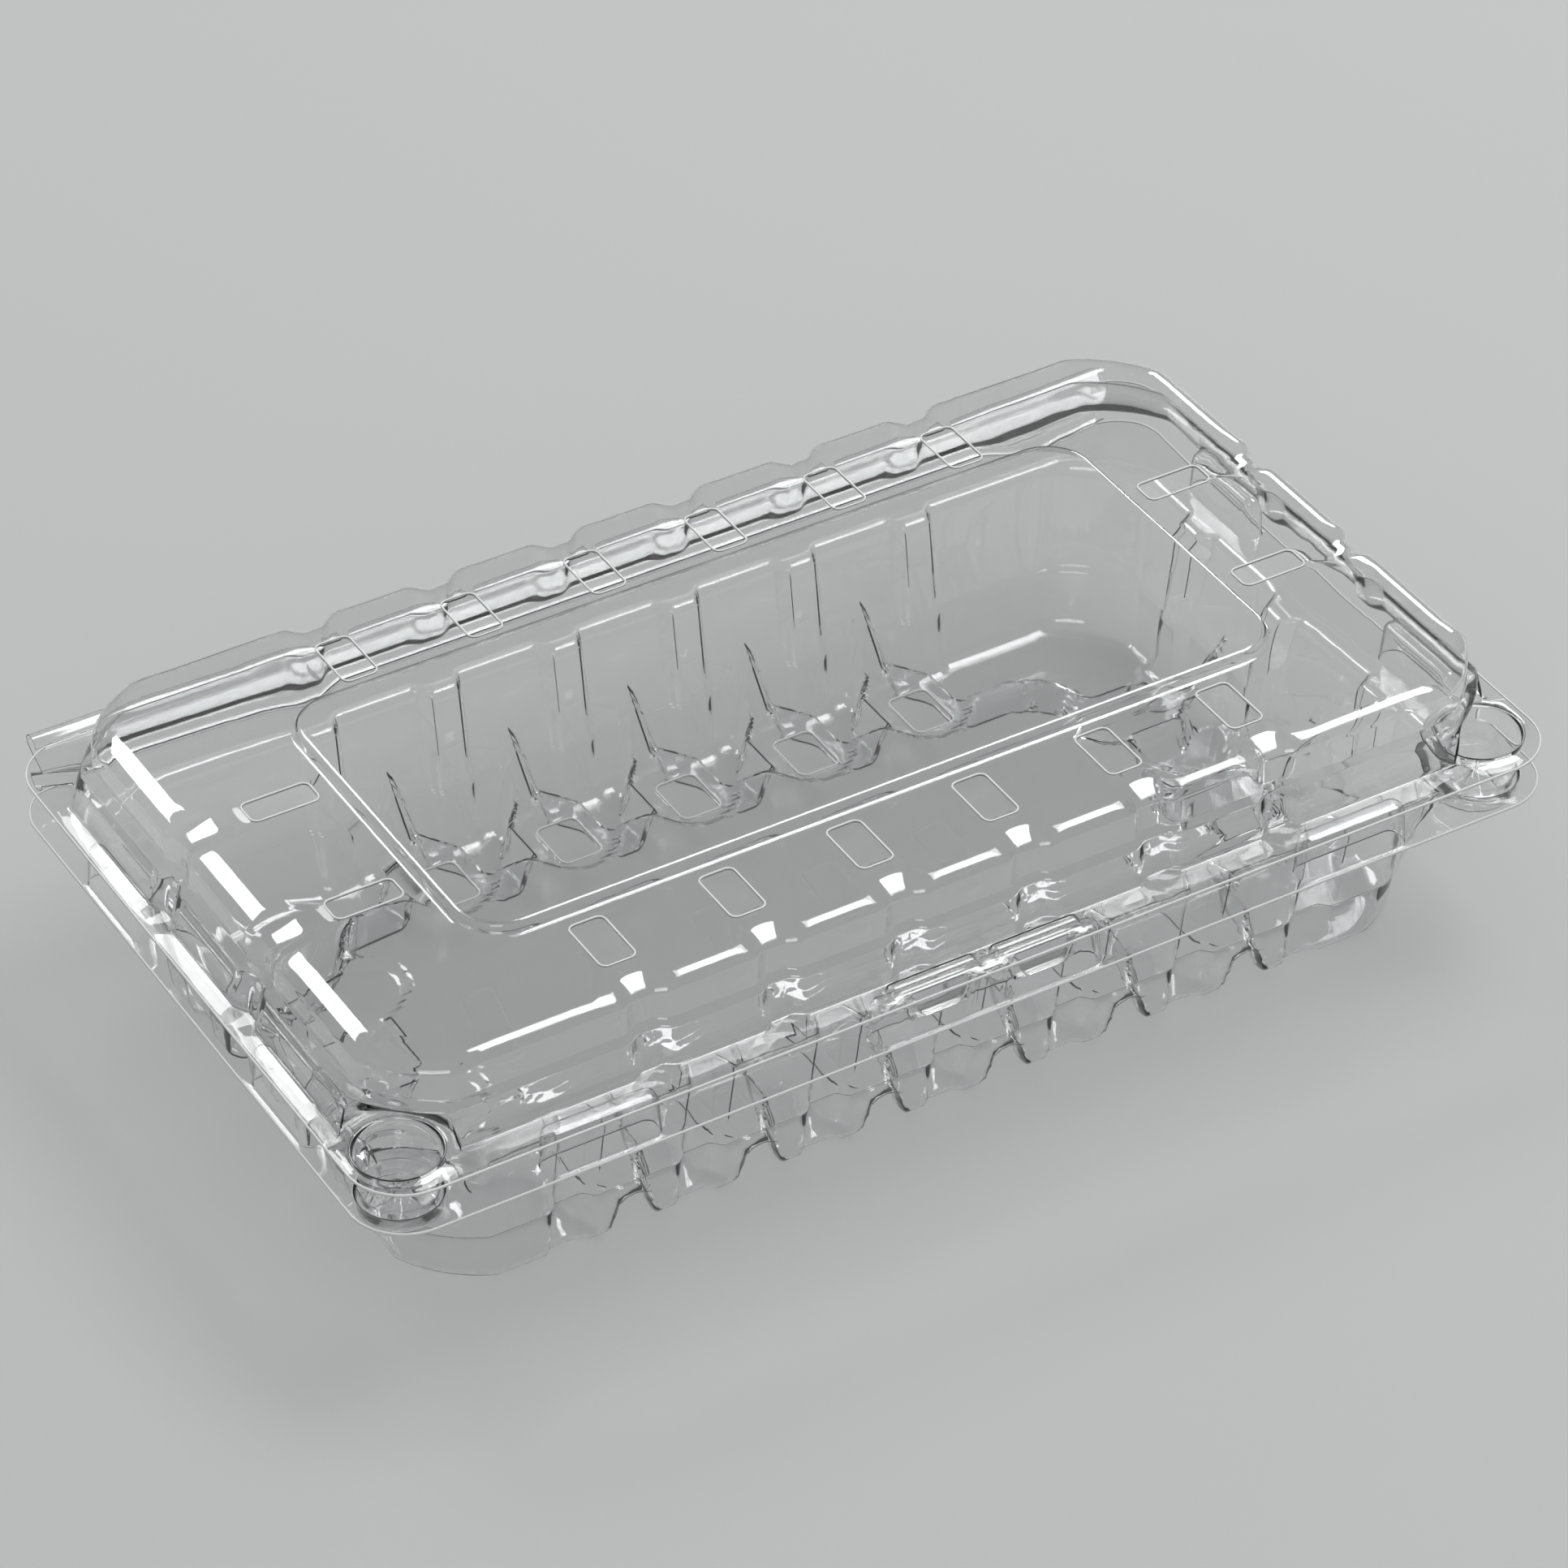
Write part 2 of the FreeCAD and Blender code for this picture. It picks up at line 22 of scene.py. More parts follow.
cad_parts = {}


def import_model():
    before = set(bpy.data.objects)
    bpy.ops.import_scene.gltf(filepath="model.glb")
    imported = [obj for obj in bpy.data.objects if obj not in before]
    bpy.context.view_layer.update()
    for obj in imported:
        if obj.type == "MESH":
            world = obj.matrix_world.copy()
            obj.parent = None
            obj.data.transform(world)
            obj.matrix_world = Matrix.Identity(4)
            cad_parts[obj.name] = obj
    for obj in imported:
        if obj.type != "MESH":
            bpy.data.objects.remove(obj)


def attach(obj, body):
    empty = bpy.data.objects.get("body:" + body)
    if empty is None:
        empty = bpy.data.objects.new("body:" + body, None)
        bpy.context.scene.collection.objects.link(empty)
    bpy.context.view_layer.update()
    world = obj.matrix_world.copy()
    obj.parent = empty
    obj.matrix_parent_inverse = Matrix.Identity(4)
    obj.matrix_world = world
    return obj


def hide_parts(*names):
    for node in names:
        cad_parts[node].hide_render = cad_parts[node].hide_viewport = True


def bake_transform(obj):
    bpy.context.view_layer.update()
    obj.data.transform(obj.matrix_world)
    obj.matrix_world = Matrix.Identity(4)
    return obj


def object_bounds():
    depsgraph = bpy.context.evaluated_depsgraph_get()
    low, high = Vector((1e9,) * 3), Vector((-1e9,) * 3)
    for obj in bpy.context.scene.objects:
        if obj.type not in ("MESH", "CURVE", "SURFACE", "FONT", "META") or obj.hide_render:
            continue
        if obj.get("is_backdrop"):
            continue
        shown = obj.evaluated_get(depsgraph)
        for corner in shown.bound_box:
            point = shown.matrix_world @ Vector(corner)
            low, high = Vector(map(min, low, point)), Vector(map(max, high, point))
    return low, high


LOG = logging.getLogger("pack")
MM = 0.001
SHARP_DEG = 48.0
WELD = 2e-6  # metres between points that are one
EDGE_LAP = 0.04  # how far a cut edge lies over the edge of its sheet
EDGE_STEP = 4.0  # longest piece of a flange's outer edge
EDGE_TURN = 16  # points in each corner of that edge
LONG_BAYS = 6  # bays of the lid's long sides
BEAD_SINK = 0.1  # how deep a bead's ends lie in its flange
FAR = 99.0
BURIED = -3.0  # a height well under the ground
Pair = tuple[float, float]
Triple = tuple[float, float, float]
Quad = tuple[float, float, float, float]
Height = Callable[[np.ndarray, np.ndarray], np.ndarray]


# ---- Sizes shared by the sheets ----


@dataclass(frozen=True)
class Plan:
    """Sizes that the lid and the tray share, in millimetres."""

    sheet: float = 0.45
    pitch: float = 28.0
    flange_len: float = 265.0
    flange_wid: float = 156.0
    flange_corner: float = 12.0
    tray_top: float = 37.0
    lid_under: float = 46.0
    lid_top: float = 64.35
    button_x: float = 121.2
    button_y: float = -64.7
    button_wrap: float = 11.6
    bead_r: float = 2.2
    fold_len: float = 252.0

    @property
    def half(self) -> float:
        """Half the thickness of the sheet, by which a middle surface lies inside its outer face."""
        return self.sheet / 2

    @property
    def bead_y(self) -> float:
        """Middle of the beads along the folding edge."""
        return self.flange_wid / 2 + self.bead_r - self.sheet

    @property
    def origin_y(self) -> float:
        """How far the drawing's middle lies behind the frame's."""
        return (self.bead_y + self.bead_r - self.flange_wid / 2) / 2


PLAN = Plan()


# ---- Outlines ----


def smooth(x: np.ndarray) -> np.ndarray:
    """Soft step from 0 to 1 over the unit range."""
    x = np.clip(x, 0.0, 1.0)
    return x * x * (3 - 2 * x)


def soft_max(a: np.ndarray, b: np.ndarray, radius: float | np.ndarray) -> np.ndarray:
    """Larger of two heights, rounded where they meet.

    Args:
        a: First height.
        b: Second height.
        radius: How far apart the heights are where the rounding starts.

    Returns:
        The blended height.
    """
    h = np.clip(0.5 + 0.5 * (a - b) / radius, 0.0, 1.0)
    return b * (1 - h) + a * h + radius * h * (1 - h)


def box_distance(x: np.ndarray, y: np.ndarray, hx: float, hy: float, corner: float) -> np.ndarray:
    """Distance in plan from a rounded rectangle about the origin, negative inside it."""
    qx, qy = np.abs(x) - (hx - corner), np.abs(y) - (hy - corner)
    return np.hypot(np.maximum(qx, 0), np.maximum(qy, 0)) + np.minimum(np.maximum(qx, qy), 0) - corner


def bays(count: int, spacing: float) -> list[float]:
    """Centres of count features spread evenly about the middle."""
    return [(i - (count - 1) / 2) * spacing for i in range(count)]


@dataclass(frozen=True)
class Level:
    """One height of a fluted wall.

    Its size and height, the depth of its flutes, how far the front corners go round the buttons, and how much
    wider its flutes are.
    """

    half_len: float
    half_wid: float
    z: float
    depth: float
    wrap: float = 0.0
    flare: float = 0.0

    def mix(self, other: "Level", t: float) -> "Level":
        """A level between this one and another."""
        return Level(*[p + (q - p) * t for p, q in zip(astuple(self), astuple(other))])

    def spread(self, by: float) -> "Level":
        """This level, larger by so much all round."""
        return replace(self, half_len=self.half_len + by, half_wid=self.half_wid + by)

    def reach(self, other: "Level") -> float:
        """Distance to another level, along the wall."""
        return math.hypot(self.half_wid - other.half_wid, self.z - other.z) + 1e-6


@dataclass(frozen=True)
class Outline:
    """How a fluted wall runs in plan: the same points at each level, so that levels can be joined."""

    front: tuple[float, ...]
    back: tuple[float, ...]
    side: tuple[float, ...]
    flat: float
    jog: float
    corner: float
    bulge: float = 0.45
    margin: float = 1.0
    step: float = 1.0
    tail: int = 7
    turn: int = 15

    def along(self, places: Sequence[float], start: float, end: float) -> np.ndarray:
        """Places of the points along one side, fine over the flutes and stretched to its two ends."""
        fixed = max(places) + self.flat / 2 + self.jog + self.margin
        inner = np.linspace(-fixed, fixed, int(2 * fixed / self.step) + 1)
        low = np.linspace(start, -fixed, self.tail + 1)[:-1]
        high = np.linspace(fixed, end, self.tail + 1)[1:]
        return np.concatenate([low, inner, high])

    def flute(self, along: np.ndarray, places: Sequence[float], level: Level) -> np.ndarray:
        """How far in the wall lies at each place along a side."""
        shape = np.zeros_like(along)
        jog = self.jog + level.flare
        for c in places:
            shape = np.maximum(shape, smooth((self.flat / 2 + jog - np.abs(along - c)) / jog))
        return level.depth * shape

    def facet(self, hx: float, hy: float) -> np.ndarray:
        """Points of a corner between a facet and a quarter circle, from the +X side to the +Y side."""
        s = np.linspace(0, 1, self.turn)
        a = s * math.pi / 2
        flat = np.stack([hx - self.corner * s, hy - self.corner * (1 - s)], 1)
        arc = np.stack([hx - self.corner * (1 - np.cos(a)), hy - self.corner * (1 - np.sin(a))], 1)
        return flat * (1 - self.bulge) + arc * self.bulge

    def wrapped(self, hx: float, hy: float) -> np.ndarray:
        """Points of a front corner that goes round a snap button."""
        r = PLAN.button_wrap
        first = math.acos(max(-1.0, min(1.0, (hx - PLAN.button_x) / r)))
        last = math.pi + math.asin(max(-1.0, min(1.0, (hy + PLAN.button_y) / r)))
        a = np.linspace(first, last, self.turn)
        return np.stack([PLAN.button_x + r * np.cos(a), -PLAN.button_y - r * np.sin(a)], 1)

    def ring(self, level: Level) -> np.ndarray:
        """Closed outline of one level, anticlockwise from the front left.

        Args:
            level: The height, size and flute depth.

        Returns:
            The points, one row each.
        """
        hx, hy = level.half_len, level.half_wid
        back = self.facet(hx, hy)
        front = back
        if level.wrap > 0:
            front = back * (1 - level.wrap) + self.wrapped(hx, hy) * level.wrap
        x_front, y_front, x_back, y_back = front[-1, 0], front[0, 1], back[-1, 0], back[0, 1]
        a = self.along(self.front, -x_front, x_front)
        b = self.along(self.side, -y_front, y_back)
        c = self.along(self.back, -x_back, x_back)
        low = np.stack([a, -hy + self.flute(a, self.front, level)], 1)
        right = np.stack([hx - self.flute(b, self.side, level), b], 1)
        high = np.stack([c, hy - self.flute(c, self.back, level)], 1)
        parts = [
            low, front[-2:0:-1] * (1, -1), right, back[1:-1], high[::-1],
            back[-2:0:-1] * (-1, 1), right[::-1] * (-1, 1), front[1:-1] * (-1, -1),
        ]
        flat = np.concatenate(parts)
        return np.column_stack([flat, np.full(len(flat), level.z)])


def rounded(levels: Sequence[tuple[Level, float]], steps: int = 4) -> list[Level]:
    """Levels along a wall whose corners are rounded.

    Args:
        levels: Each corner of the wall and the length over which it is rounded, nought for a plain level.
        steps: Pieces in each rounding.

    Returns:
        All levels, in order.
    """
    out: list[Level] = []
    for i, (here, radius) in enumerate(levels):
        if radius <= 0 or i in (0, len(levels) - 1):
            out.append(here)
            continue
        before, after = levels[i - 1][0], levels[i + 1][0]
        start = here.mix(before, min(0.5, radius / here.reach(before)))
        end = here.mix(after, min(0.5, radius / here.reach(after)))
        for k in range(steps + 1):
            t = k / steps
            out.append(start.mix(here, t).mix(here.mix(end, t), t))
    return out


def slab(length: float, width: float, radius: float, z: float, x: float = 0.0, y: float = 0.0,
         turn: int = 8) -> np.ndarray:
    """Rounded rectangle as a closed ring of points, anticlockwise."""
    pts = []
    for k, (sx, sy) in enumerate([(1, -1), (1, 1), (-1, 1), (-1, -1)]):
        cx, cy = x + sx * (length / 2 - radius), y + sy * (width / 2 - radius)
        for i in range(turn):
            a = math.radians(-90 + 90 * k + 90 * i / (turn - 1))
            pts.append((cx + radius * math.cos(a), cy + radius * math.sin(a), z))
    return np.array(pts)


def circle(x: float, y: float, r: float, z: float, count: int = 48) -> np.ndarray:
    """Circle as a closed ring of points."""
    a = np.linspace(0, 2 * math.pi, count, endpoint=False)
    return np.column_stack([x + r * np.cos(a), y + r * np.sin(a), np.full(count, z)])


def inside(points: np.ndarray, ring: np.ndarray) -> np.ndarray:
    """True for each point in plan that lies within a closed ring."""
    x, y = points[:, 0], points[:, 1]
    hit = np.zeros(len(points), bool)
    for (ax, ay), (bx, by) in zip(ring[:, :2], np.roll(ring[:, :2], -1, 0)):
        if ay == by:
            continue
        crosses = (ay > y) != (by > y)
        hit ^= crosses & (x < (bx - ax) * (y - ay) / (by - ay) + ax)
    return hit


# ---- A formed sheet ----


def place(name: str, data: bpy.types.ID) -> bpy.types.Object:
    """Puts a mesh, light or camera in the scene as an object at the origin."""
    obj = bpy.data.objects.new(name, data)
    bpy.context.scene.collection.objects.link(obj)
    return obj


def plain(obj: bpy.types.Object) -> bpy.types.Mesh:
    """The plain mesh that an object's modifiers make."""
    deps = bpy.context.evaluated_depsgraph_get()
    return bpy.data.meshes.new_from_object(obj.evaluated_get(deps))


def lattice(xs: np.ndarray, ys: np.ndarray) -> np.ndarray:
    """All pairs of an x and a y, one row each."""
    gx, gy = np.meshgrid(xs, ys)
    return np.stack([gx.ravel(), gy.ravel()], 1)


class Sheet:
    """Middle surface of one formed sheet, gathered from walls and plates and thickened at the end."""

    def __init__(self) -> None:
        """Starts with no faces."""
        self.points: list[np.ndarray] = []
        self.faces: list[tuple[int, ...]] = []
        self.plain: set[int] = set()
        self.count = 0

    def _add(self, points: np.ndarray) -> int:
        """Adds points and returns the number of the first."""
        first = self.count
        self.points.append(np.asarray(points, float))
        self.count += len(points)
        return first

    def loft(self, rings: Sequence[np.ndarray], closed: bool = True) -> None:
        """Joins rings of equal count into a wall."""
        n = len(rings[0])
        starts = [self._add(r) for r in rings]
        for a, b in zip(starts, starts[1:]):
            for i in range(n if closed else n - 1):
                j = (i + 1) % n
                self.faces.append((a + i, a + j, b + j, b + i))

    def cap(self, ring: np.ndarray, middle: Triple) -> None:
        """Closes a ring onto one point."""
        a = self._add(ring)
        m = self._add(np.array([middle]))
        for i in range(len(ring)):
            self.faces.append((a + i, a + (i + 1) % len(ring), m))

    def boss(self, rings: Sequence[np.ndarray]) -> np.ndarray:
        """Adds a bump or cup with a flat end and returns its edge on the sheet."""
        self.loft(rings)
        self.plate(rings[-1])
        return rings[0]

    def plate(self, outer: np.ndarray, holes: Sequence[np.ndarray] = (), height: Height | None = None,
              grid: np.ndarray | None = None) -> None:
        """Fills a ring, leaving its holes open.

        Args:
            outer: Edge of the plate.
            holes: Closed rings inside it that stay open.
            height: Gives z from x and y; without it the plate lies at the height of its edge.
            grid: More points in plan for a plate that isn't flat.
        """
        rings = [outer, *holes]
        flat = [Vector(p[:2]) for r in rings for p in r]
        loops, start = [], 0
        for r in rings:
            loops.append(list(range(start, start + len(r))))
            start += len(r)
        if grid is not None:
            flat += [Vector(p) for p in grid]
        verts, _, tris, _, _, owners = delaunay_2d_cdt(flat, [], loops, 1, 1e-6)
        xy = np.array([tuple(v) for v in verts])
        z = height(xy[:, 0], xy[:, 1]) if height else np.full(len(xy), outer[0, 2])
        first = self._add(np.column_stack([xy, z]))
        for tri, owner in zip(tris, owners):
            if 0 in owner and len(owner) == 1:
                if height is None:
                    self.plain.add(len(self.faces))
                self.faces.append(tuple(first + i for i in tri))

    def build(self, name: str, thickness: float) -> bpy.types.Object:
        """Welds the surface and gives it its thickness.

        Args:
            name: Name of the object.
            thickness: Of the sheet, in millimetres.

        Returns:
            A closed mesh object at the origin.
        """
        p = np.concatenate(self.points)
        p[:, 1] -= PLAN.origin_y
        mesh = bpy.data.meshes.new(name)
        mesh.from_pydata((p * MM).tolist(), [], self.faces)
        work = bmesh.new()
        work.from_mesh(mesh)
        for f in work.faces:
            f.smooth = f.index not in self.plain
        bmesh.ops.remove_doubles(work, verts=work.verts, dist=WELD)
        bmesh.ops.dissolve_degenerate(work, dist=WELD / 2, edges=work.edges)
        bmesh.ops.recalc_face_normals(work, faces=work.faces)
        work.to_mesh(mesh)
        work.free()
        obj = place(name, mesh)
        wall = obj.modifiers.new("wall", "SOLIDIFY")
        wall.thickness = thickness * MM
        wall.offset = 0.0
        wall.use_rim = True
        wall.use_even_offset = True
        wall.thickness_clamp = 1.6
        made = plain(obj)
        obj.modifiers.clear()
        co = np.empty(3 * len(made.vertices))
        made.vertices.foreach_get("co", co)
        co[2::3] = np.maximum(co[2::3], 0.0)
        made.vertices.foreach_set("co", co)
        made.set_sharp_from_angle(angle=math.radians(SHARP_DEG))
        obj.data = made
        return obj


# ---- Finishes ----


class Field:
    """One shader socket, so that sums on it read as Python."""

    def __init__(self, tree: bpy.types.NodeTree, socket: bpy.types.NodeSocket) -> None:
        """Wraps a socket of a tree."""
        self.tree, self.socket = tree, socket

    def _math(self, operation: str, a: "Field | float", b: "Field | float") -> "Field":
        """Adds one Math node."""
        return node(self.tree, "ShaderNodeMath", {0: a, 1: b}, {"operation": operation})["Value"]

    def __add__(self, other: "Field | float") -> "Field":
        """Sum."""
        return self._math("ADD", self, other)

    def __mul__(self, other: "Field | float") -> "Field":
        """Product."""
        return self._math("MULTIPLY", self, other)

    __rmul__ = __mul__


Outputs = dict[str, Field]


def node(tree: bpy.types.NodeTree, kind: str, inputs: dict[str | int, object] | None = None,
         settings: dict[str, object] | None = None) -> Outputs:
    """Adds any node.

    Args:
        tree: Where it goes.
        kind: Blender's type name.
        inputs: Values or fields for its sockets, by name or number.
        settings: Properties, which are set first.

    Returns:
        Its outputs by name.
    """
    made = tree.nodes.new(kind)
    for key, value in (settings or {}).items():
        setattr(made, key, value)
    for key, value in (inputs or {}).items():
        if isinstance(value, Field):
            tree.links.new(value.socket, made.inputs[key])
        else:
            made.inputs[key].default_value = value
    return {s.name: Field(tree, s) for s in made.outputs if s.enabled}


def blank(name: str) -> tuple[bpy.types.Material, bpy.types.NodeTree, Field]:
    """A new material, its empty tree and the place on the object."""
    mat = bpy.data.materials.new(name)
    mat.use_nodes = True
    tree = mat.node_tree
    tree.nodes.clear()
    return mat, tree, node(tree, "ShaderNodeTexCoord")["Object"]


def noise(spot: Field, scale: float, detail: float) -> Field:
    """Noise over the object."""
    return node(spot.tree, "ShaderNodeTexNoise", {"Vector": spot, "Scale": scale, "Detail": detail})["Fac"]


@dataclass(frozen=True)
class ClearSheet:
    """Clear glossy PET sheet."""

    name: str
    tint: Quad = (0.985, 0.99, 0.99, 1.0)
    shade: Quad = (0.95, 0.953, 0.953, 1.0)
    index: float = 1.575
    gloss: float = 0.02
    waviness: float = 0.03
    wave_height: float = 0.0006
    wave_scale: float = 60.0
    haze_scale: float = 9.0

    def material(self) -> bpy.types.Material:
        """Builds the shader: a clear coat of light through the sheet, gently wavy from the forming."""
        mat, tree, spot = blank(self.name)
        bump = node(tree, "ShaderNodeBump", {
            "Strength": self.waviness, "Distance": self.wave_height,
            "Height": noise(spot, self.wave_scale, 2.0)})
        body = node(tree, "ShaderNodeBsdfPrincipled", {
            "Base Color": self.tint, "IOR": self.index, "Transmission Weight": 1.0,
            "Roughness": self.gloss * (noise(spot, self.haze_scale, 3.0) * 0.8 + 0.6),
            "Normal": bump["Normal"]})
        through = node(tree, "ShaderNodeBsdfTransparent", {"Color": self.shade})
        path = node(tree, "ShaderNodeLightPath")
        both = node(tree, "ShaderNodeMixShader", {
            0: path["Is Shadow Ray"], 1: body["BSDF"], 2: through["BSDF"]})
        node(tree, "ShaderNodeOutputMaterial", {"Surface": both["Shader"]})
        return mat


@dataclass(frozen=True)
class FrostedEdge:
    """Whitish edge where the sheet was cut."""

    name: str
    colour: Quad = (0.9, 0.92, 0.92, 1.0)
    roughness: float = 0.35
    cover: float = 0.85
    grain: float = 900.0

    def material(self) -> bpy.types.Material:
        """Builds the shader: pale, with the fine drag marks of the knife."""
        mat, tree, spot = blank(self.name)
        body = node(tree, "ShaderNodeBsdfPrincipled", {
            "Base Color": self.colour, "Alpha": self.cover,
            "Roughness": self.roughness * (noise(spot, self.grain, 2.0) * 0.6 + 0.7)})
        node(tree, "ShaderNodeOutputMaterial", {"Surface": body["BSDF"]})
        return mat


@dataclass(frozen=True)
class MattFloor:
    """Pale matt floor."""

    name: str = "pale_floor"
    colour: Quad = (0.5, 0.505, 0.505, 1.0)
    roughness: float = 0.75

    def material(self) -> bpy.types.Material:
        """Builds the shader."""
        mat = bpy.data.materials.new(self.name)
        mat.use_nodes = True
        shader = mat.node_tree.nodes["Principled BSDF"]
        shader.inputs["Base Color"].default_value = self.colour
        shader.inputs["Roughness"].default_value = self.roughness
        return mat


@dataclass
class Opening:
    """One kind of opening punched in a sheet, with the middle of each copy."""

    length: float
    width: float
    corner: float
    places: list[Triple]

    def rings(self) -> list[np.ndarray]:
        """Edges of the sheet around the openings, which end under the cut edges."""
        size = (self.length + 2 * EDGE_LAP, self.width + 2 * EDGE_LAP, self.corner)
        return [slab(*size, z, x, y) for x, y, z in self.places]


@dataclass
class CutEdges:
    """Pale knife edges of a sheet: round each opening, and along the flange up to its bead."""

    width: float = 0.34
    thickness: float = 0.47
    bead_clear: float = 0.6
    corner_count: int = 6

    def _tree(self, name: str, sizes: Sequence[str]) -> tuple[bpy.types.NodeTree, Outputs, Outputs]:
        """Starts a node tree with its named inputs and the bar's profile.

        Args:
            name: Of the tree.
            sizes: Names of its inputs beside the bar's own.

        Returns:
            The tree, its inputs and the profile.
        """
        tree = bpy.data.node_groups.new(name, "GeometryNodeTree")
        tree.interface.new_socket("Places", in_out="INPUT", socket_type="NodeSocketGeometry")
        for size in ("Bar Width", "Bar Thickness", *sizes):
            tree.interface.new_socket(size, in_out="INPUT", socket_type="NodeSocketFloat")
        tree.interface.new_socket("Finish", in_out="INPUT", socket_type="NodeSocketMaterial")
        tree.interface.new_socket("Edges", in_out="OUTPUT", socket_type="NodeSocketGeometry")
        given = node(tree, "NodeGroupInput")
        profile = node(tree, "GeometryNodeCurvePrimitiveQuadrilateral", {
            "Width": given["Bar Width"], "Height": given["Bar Thickness"]})
        return tree, given, profile

    def _end(self, tree: bpy.types.NodeTree, given: Outputs, geometry: Field) -> bpy.types.NodeTree:
        """Ends a node tree in real faces with their finish."""
        real = node(tree, "GeometryNodeRealizeInstances", {"Geometry": geometry})
        done = node(tree, "GeometryNodeSetMaterial", {
            "Geometry": real["Geometry"], "Material": given["Finish"]})
        node(tree, "NodeGroupOutput", {"Edges": done["Geometry"]})
        return tree

    def opening_tree(self) -> bpy.types.NodeTree:
        """Repeats a closed rounded bar at each given point."""
        tree, given, profile = self._tree("opening_edges", ("Length", "Width", "Corner"))
        loop = node(tree, "GeometryNodeCurvePrimitiveQuadrilateral", {
            "Width": given["Length"], "Height": given["Width"]})
        soft = node(tree, "GeometryNodeFilletCurve", {
            "Curve": loop["Curve"], "Radius": given["Corner"], "Count": self.corner_count}, {"mode": "POLY"})
        bar = node(tree, "GeometryNodeCurveToMesh", {
            "Curve": soft["Curve"], "Profile Curve": profile["Curve"]})
        copies = node(tree, "GeometryNodeInstanceOnPoints", {
            "Points": given["Places"], "Instance": bar["Mesh"]})
        return self._end(tree, given, copies["Instances"])

    def flange_tree(self) -> bpy.types.NodeTree:
        """Runs the bar along given edges."""
        tree, given, profile = self._tree("flange_edges", ())
        path = node(tree, "GeometryNodeMeshToCurve", {"Mesh": given["Places"]})
        bar = node(tree, "GeometryNodeCurveToMesh", {
            "Curve": path["Curve"], "Profile Curve": profile["Curve"], "Fill Caps": True})
        return self._end(tree, given, bar["Mesh"])

    def _grow(self, tree: bpy.types.NodeTree, points: np.ndarray, edges: list[tuple[int, int]],
              sizes: dict[str, float], finish: bpy.types.Material) -> bpy.types.Mesh:
        """Runs a node tree on points and edges and returns the plain mesh."""
        base = bpy.data.meshes.new(tree.name)
        base.from_pydata((points * MM).tolist(), edges, [])
        obj = place(tree.name, base)
        grown = obj.modifiers.new("edges", "NODES")
        grown.node_group = tree
        values = {"Bar Width": self.width, "Bar Thickness": self.thickness, **sizes}
        for socket in tree.interface.items_tree:
            if socket.in_out == "INPUT" and socket.name in values:
                grown[socket.identifier] = values[socket.name] * MM
            if socket.in_out == "INPUT" and socket.name == "Finish":
                grown[socket.identifier] = finish
        made = plain(obj)
        bpy.data.objects.remove(obj)
        return made

    def build(self, name: str, openings: Sequence[Opening], flange_z: float, finish: bpy.types.Material,
              slot: str, body: str) -> bpy.types.Object:
        """Builds all cut edges of one sheet.

        Args:
            name: Name of the piece.
            openings: Kinds of opening in the sheet.
            flange_z: Middle of the sheet's flange.
            finish: Material of a cut edge.
            slot: Record slot of the sheet; not used.
            body: Body that the sheet rides on.

        Returns:
            The piece.
        """
        shift = np.array([0.0, -PLAN.origin_y, 0.0])
        repeat, along = self.opening_tree(), self.flange_tree()
        parts = []
        for kind in openings:
            sizes = {"Length": kind.length + self.width, "Width": kind.width + self.width,
                     "Corner": kind.corner}
            parts.append(self._grow(repeat, np.array(kind.places) + shift, [], sizes, finish))
        ring = dense(slab(PLAN.flange_len - self.width, PLAN.flange_wid - self.width,
                          PLAN.flange_corner - self.width / 2, flange_z, turn=EDGE_TURN), EDGE_STEP)
        behind = ring[:, 1] > PLAN.flange_wid / 2 - self.bead_clear
        last, first = int(np.argmax(behind)), len(ring) - int(np.argmax(behind[::-1]))
        path = np.concatenate([ring[first:], ring[:last]])
        edges = [(i, i + 1) for i in range(len(path) - 1)]
        parts.append(self._grow(along, path + shift, edges, {}, finish))
        work = bmesh.new()
        for part in parts:
            work.from_mesh(part)
        bmesh.ops.recalc_face_normals(work, faces=work.faces)
        mesh = bpy.data.meshes.new(name)
        work.to_mesh(mesh)
        work.free()
        obj = place(name, mesh)
        dress(obj, finish, body)
        return obj


def dress(obj: bpy.types.Object, finish: bpy.types.Material, body: str | None) -> None:
    """Gives a piece its finish and, where it rides on one body, that body."""
    obj.data.materials.clear()
    obj.data.materials.append(finish)
    if body:
        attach(obj, body)


# ---- The lid ----


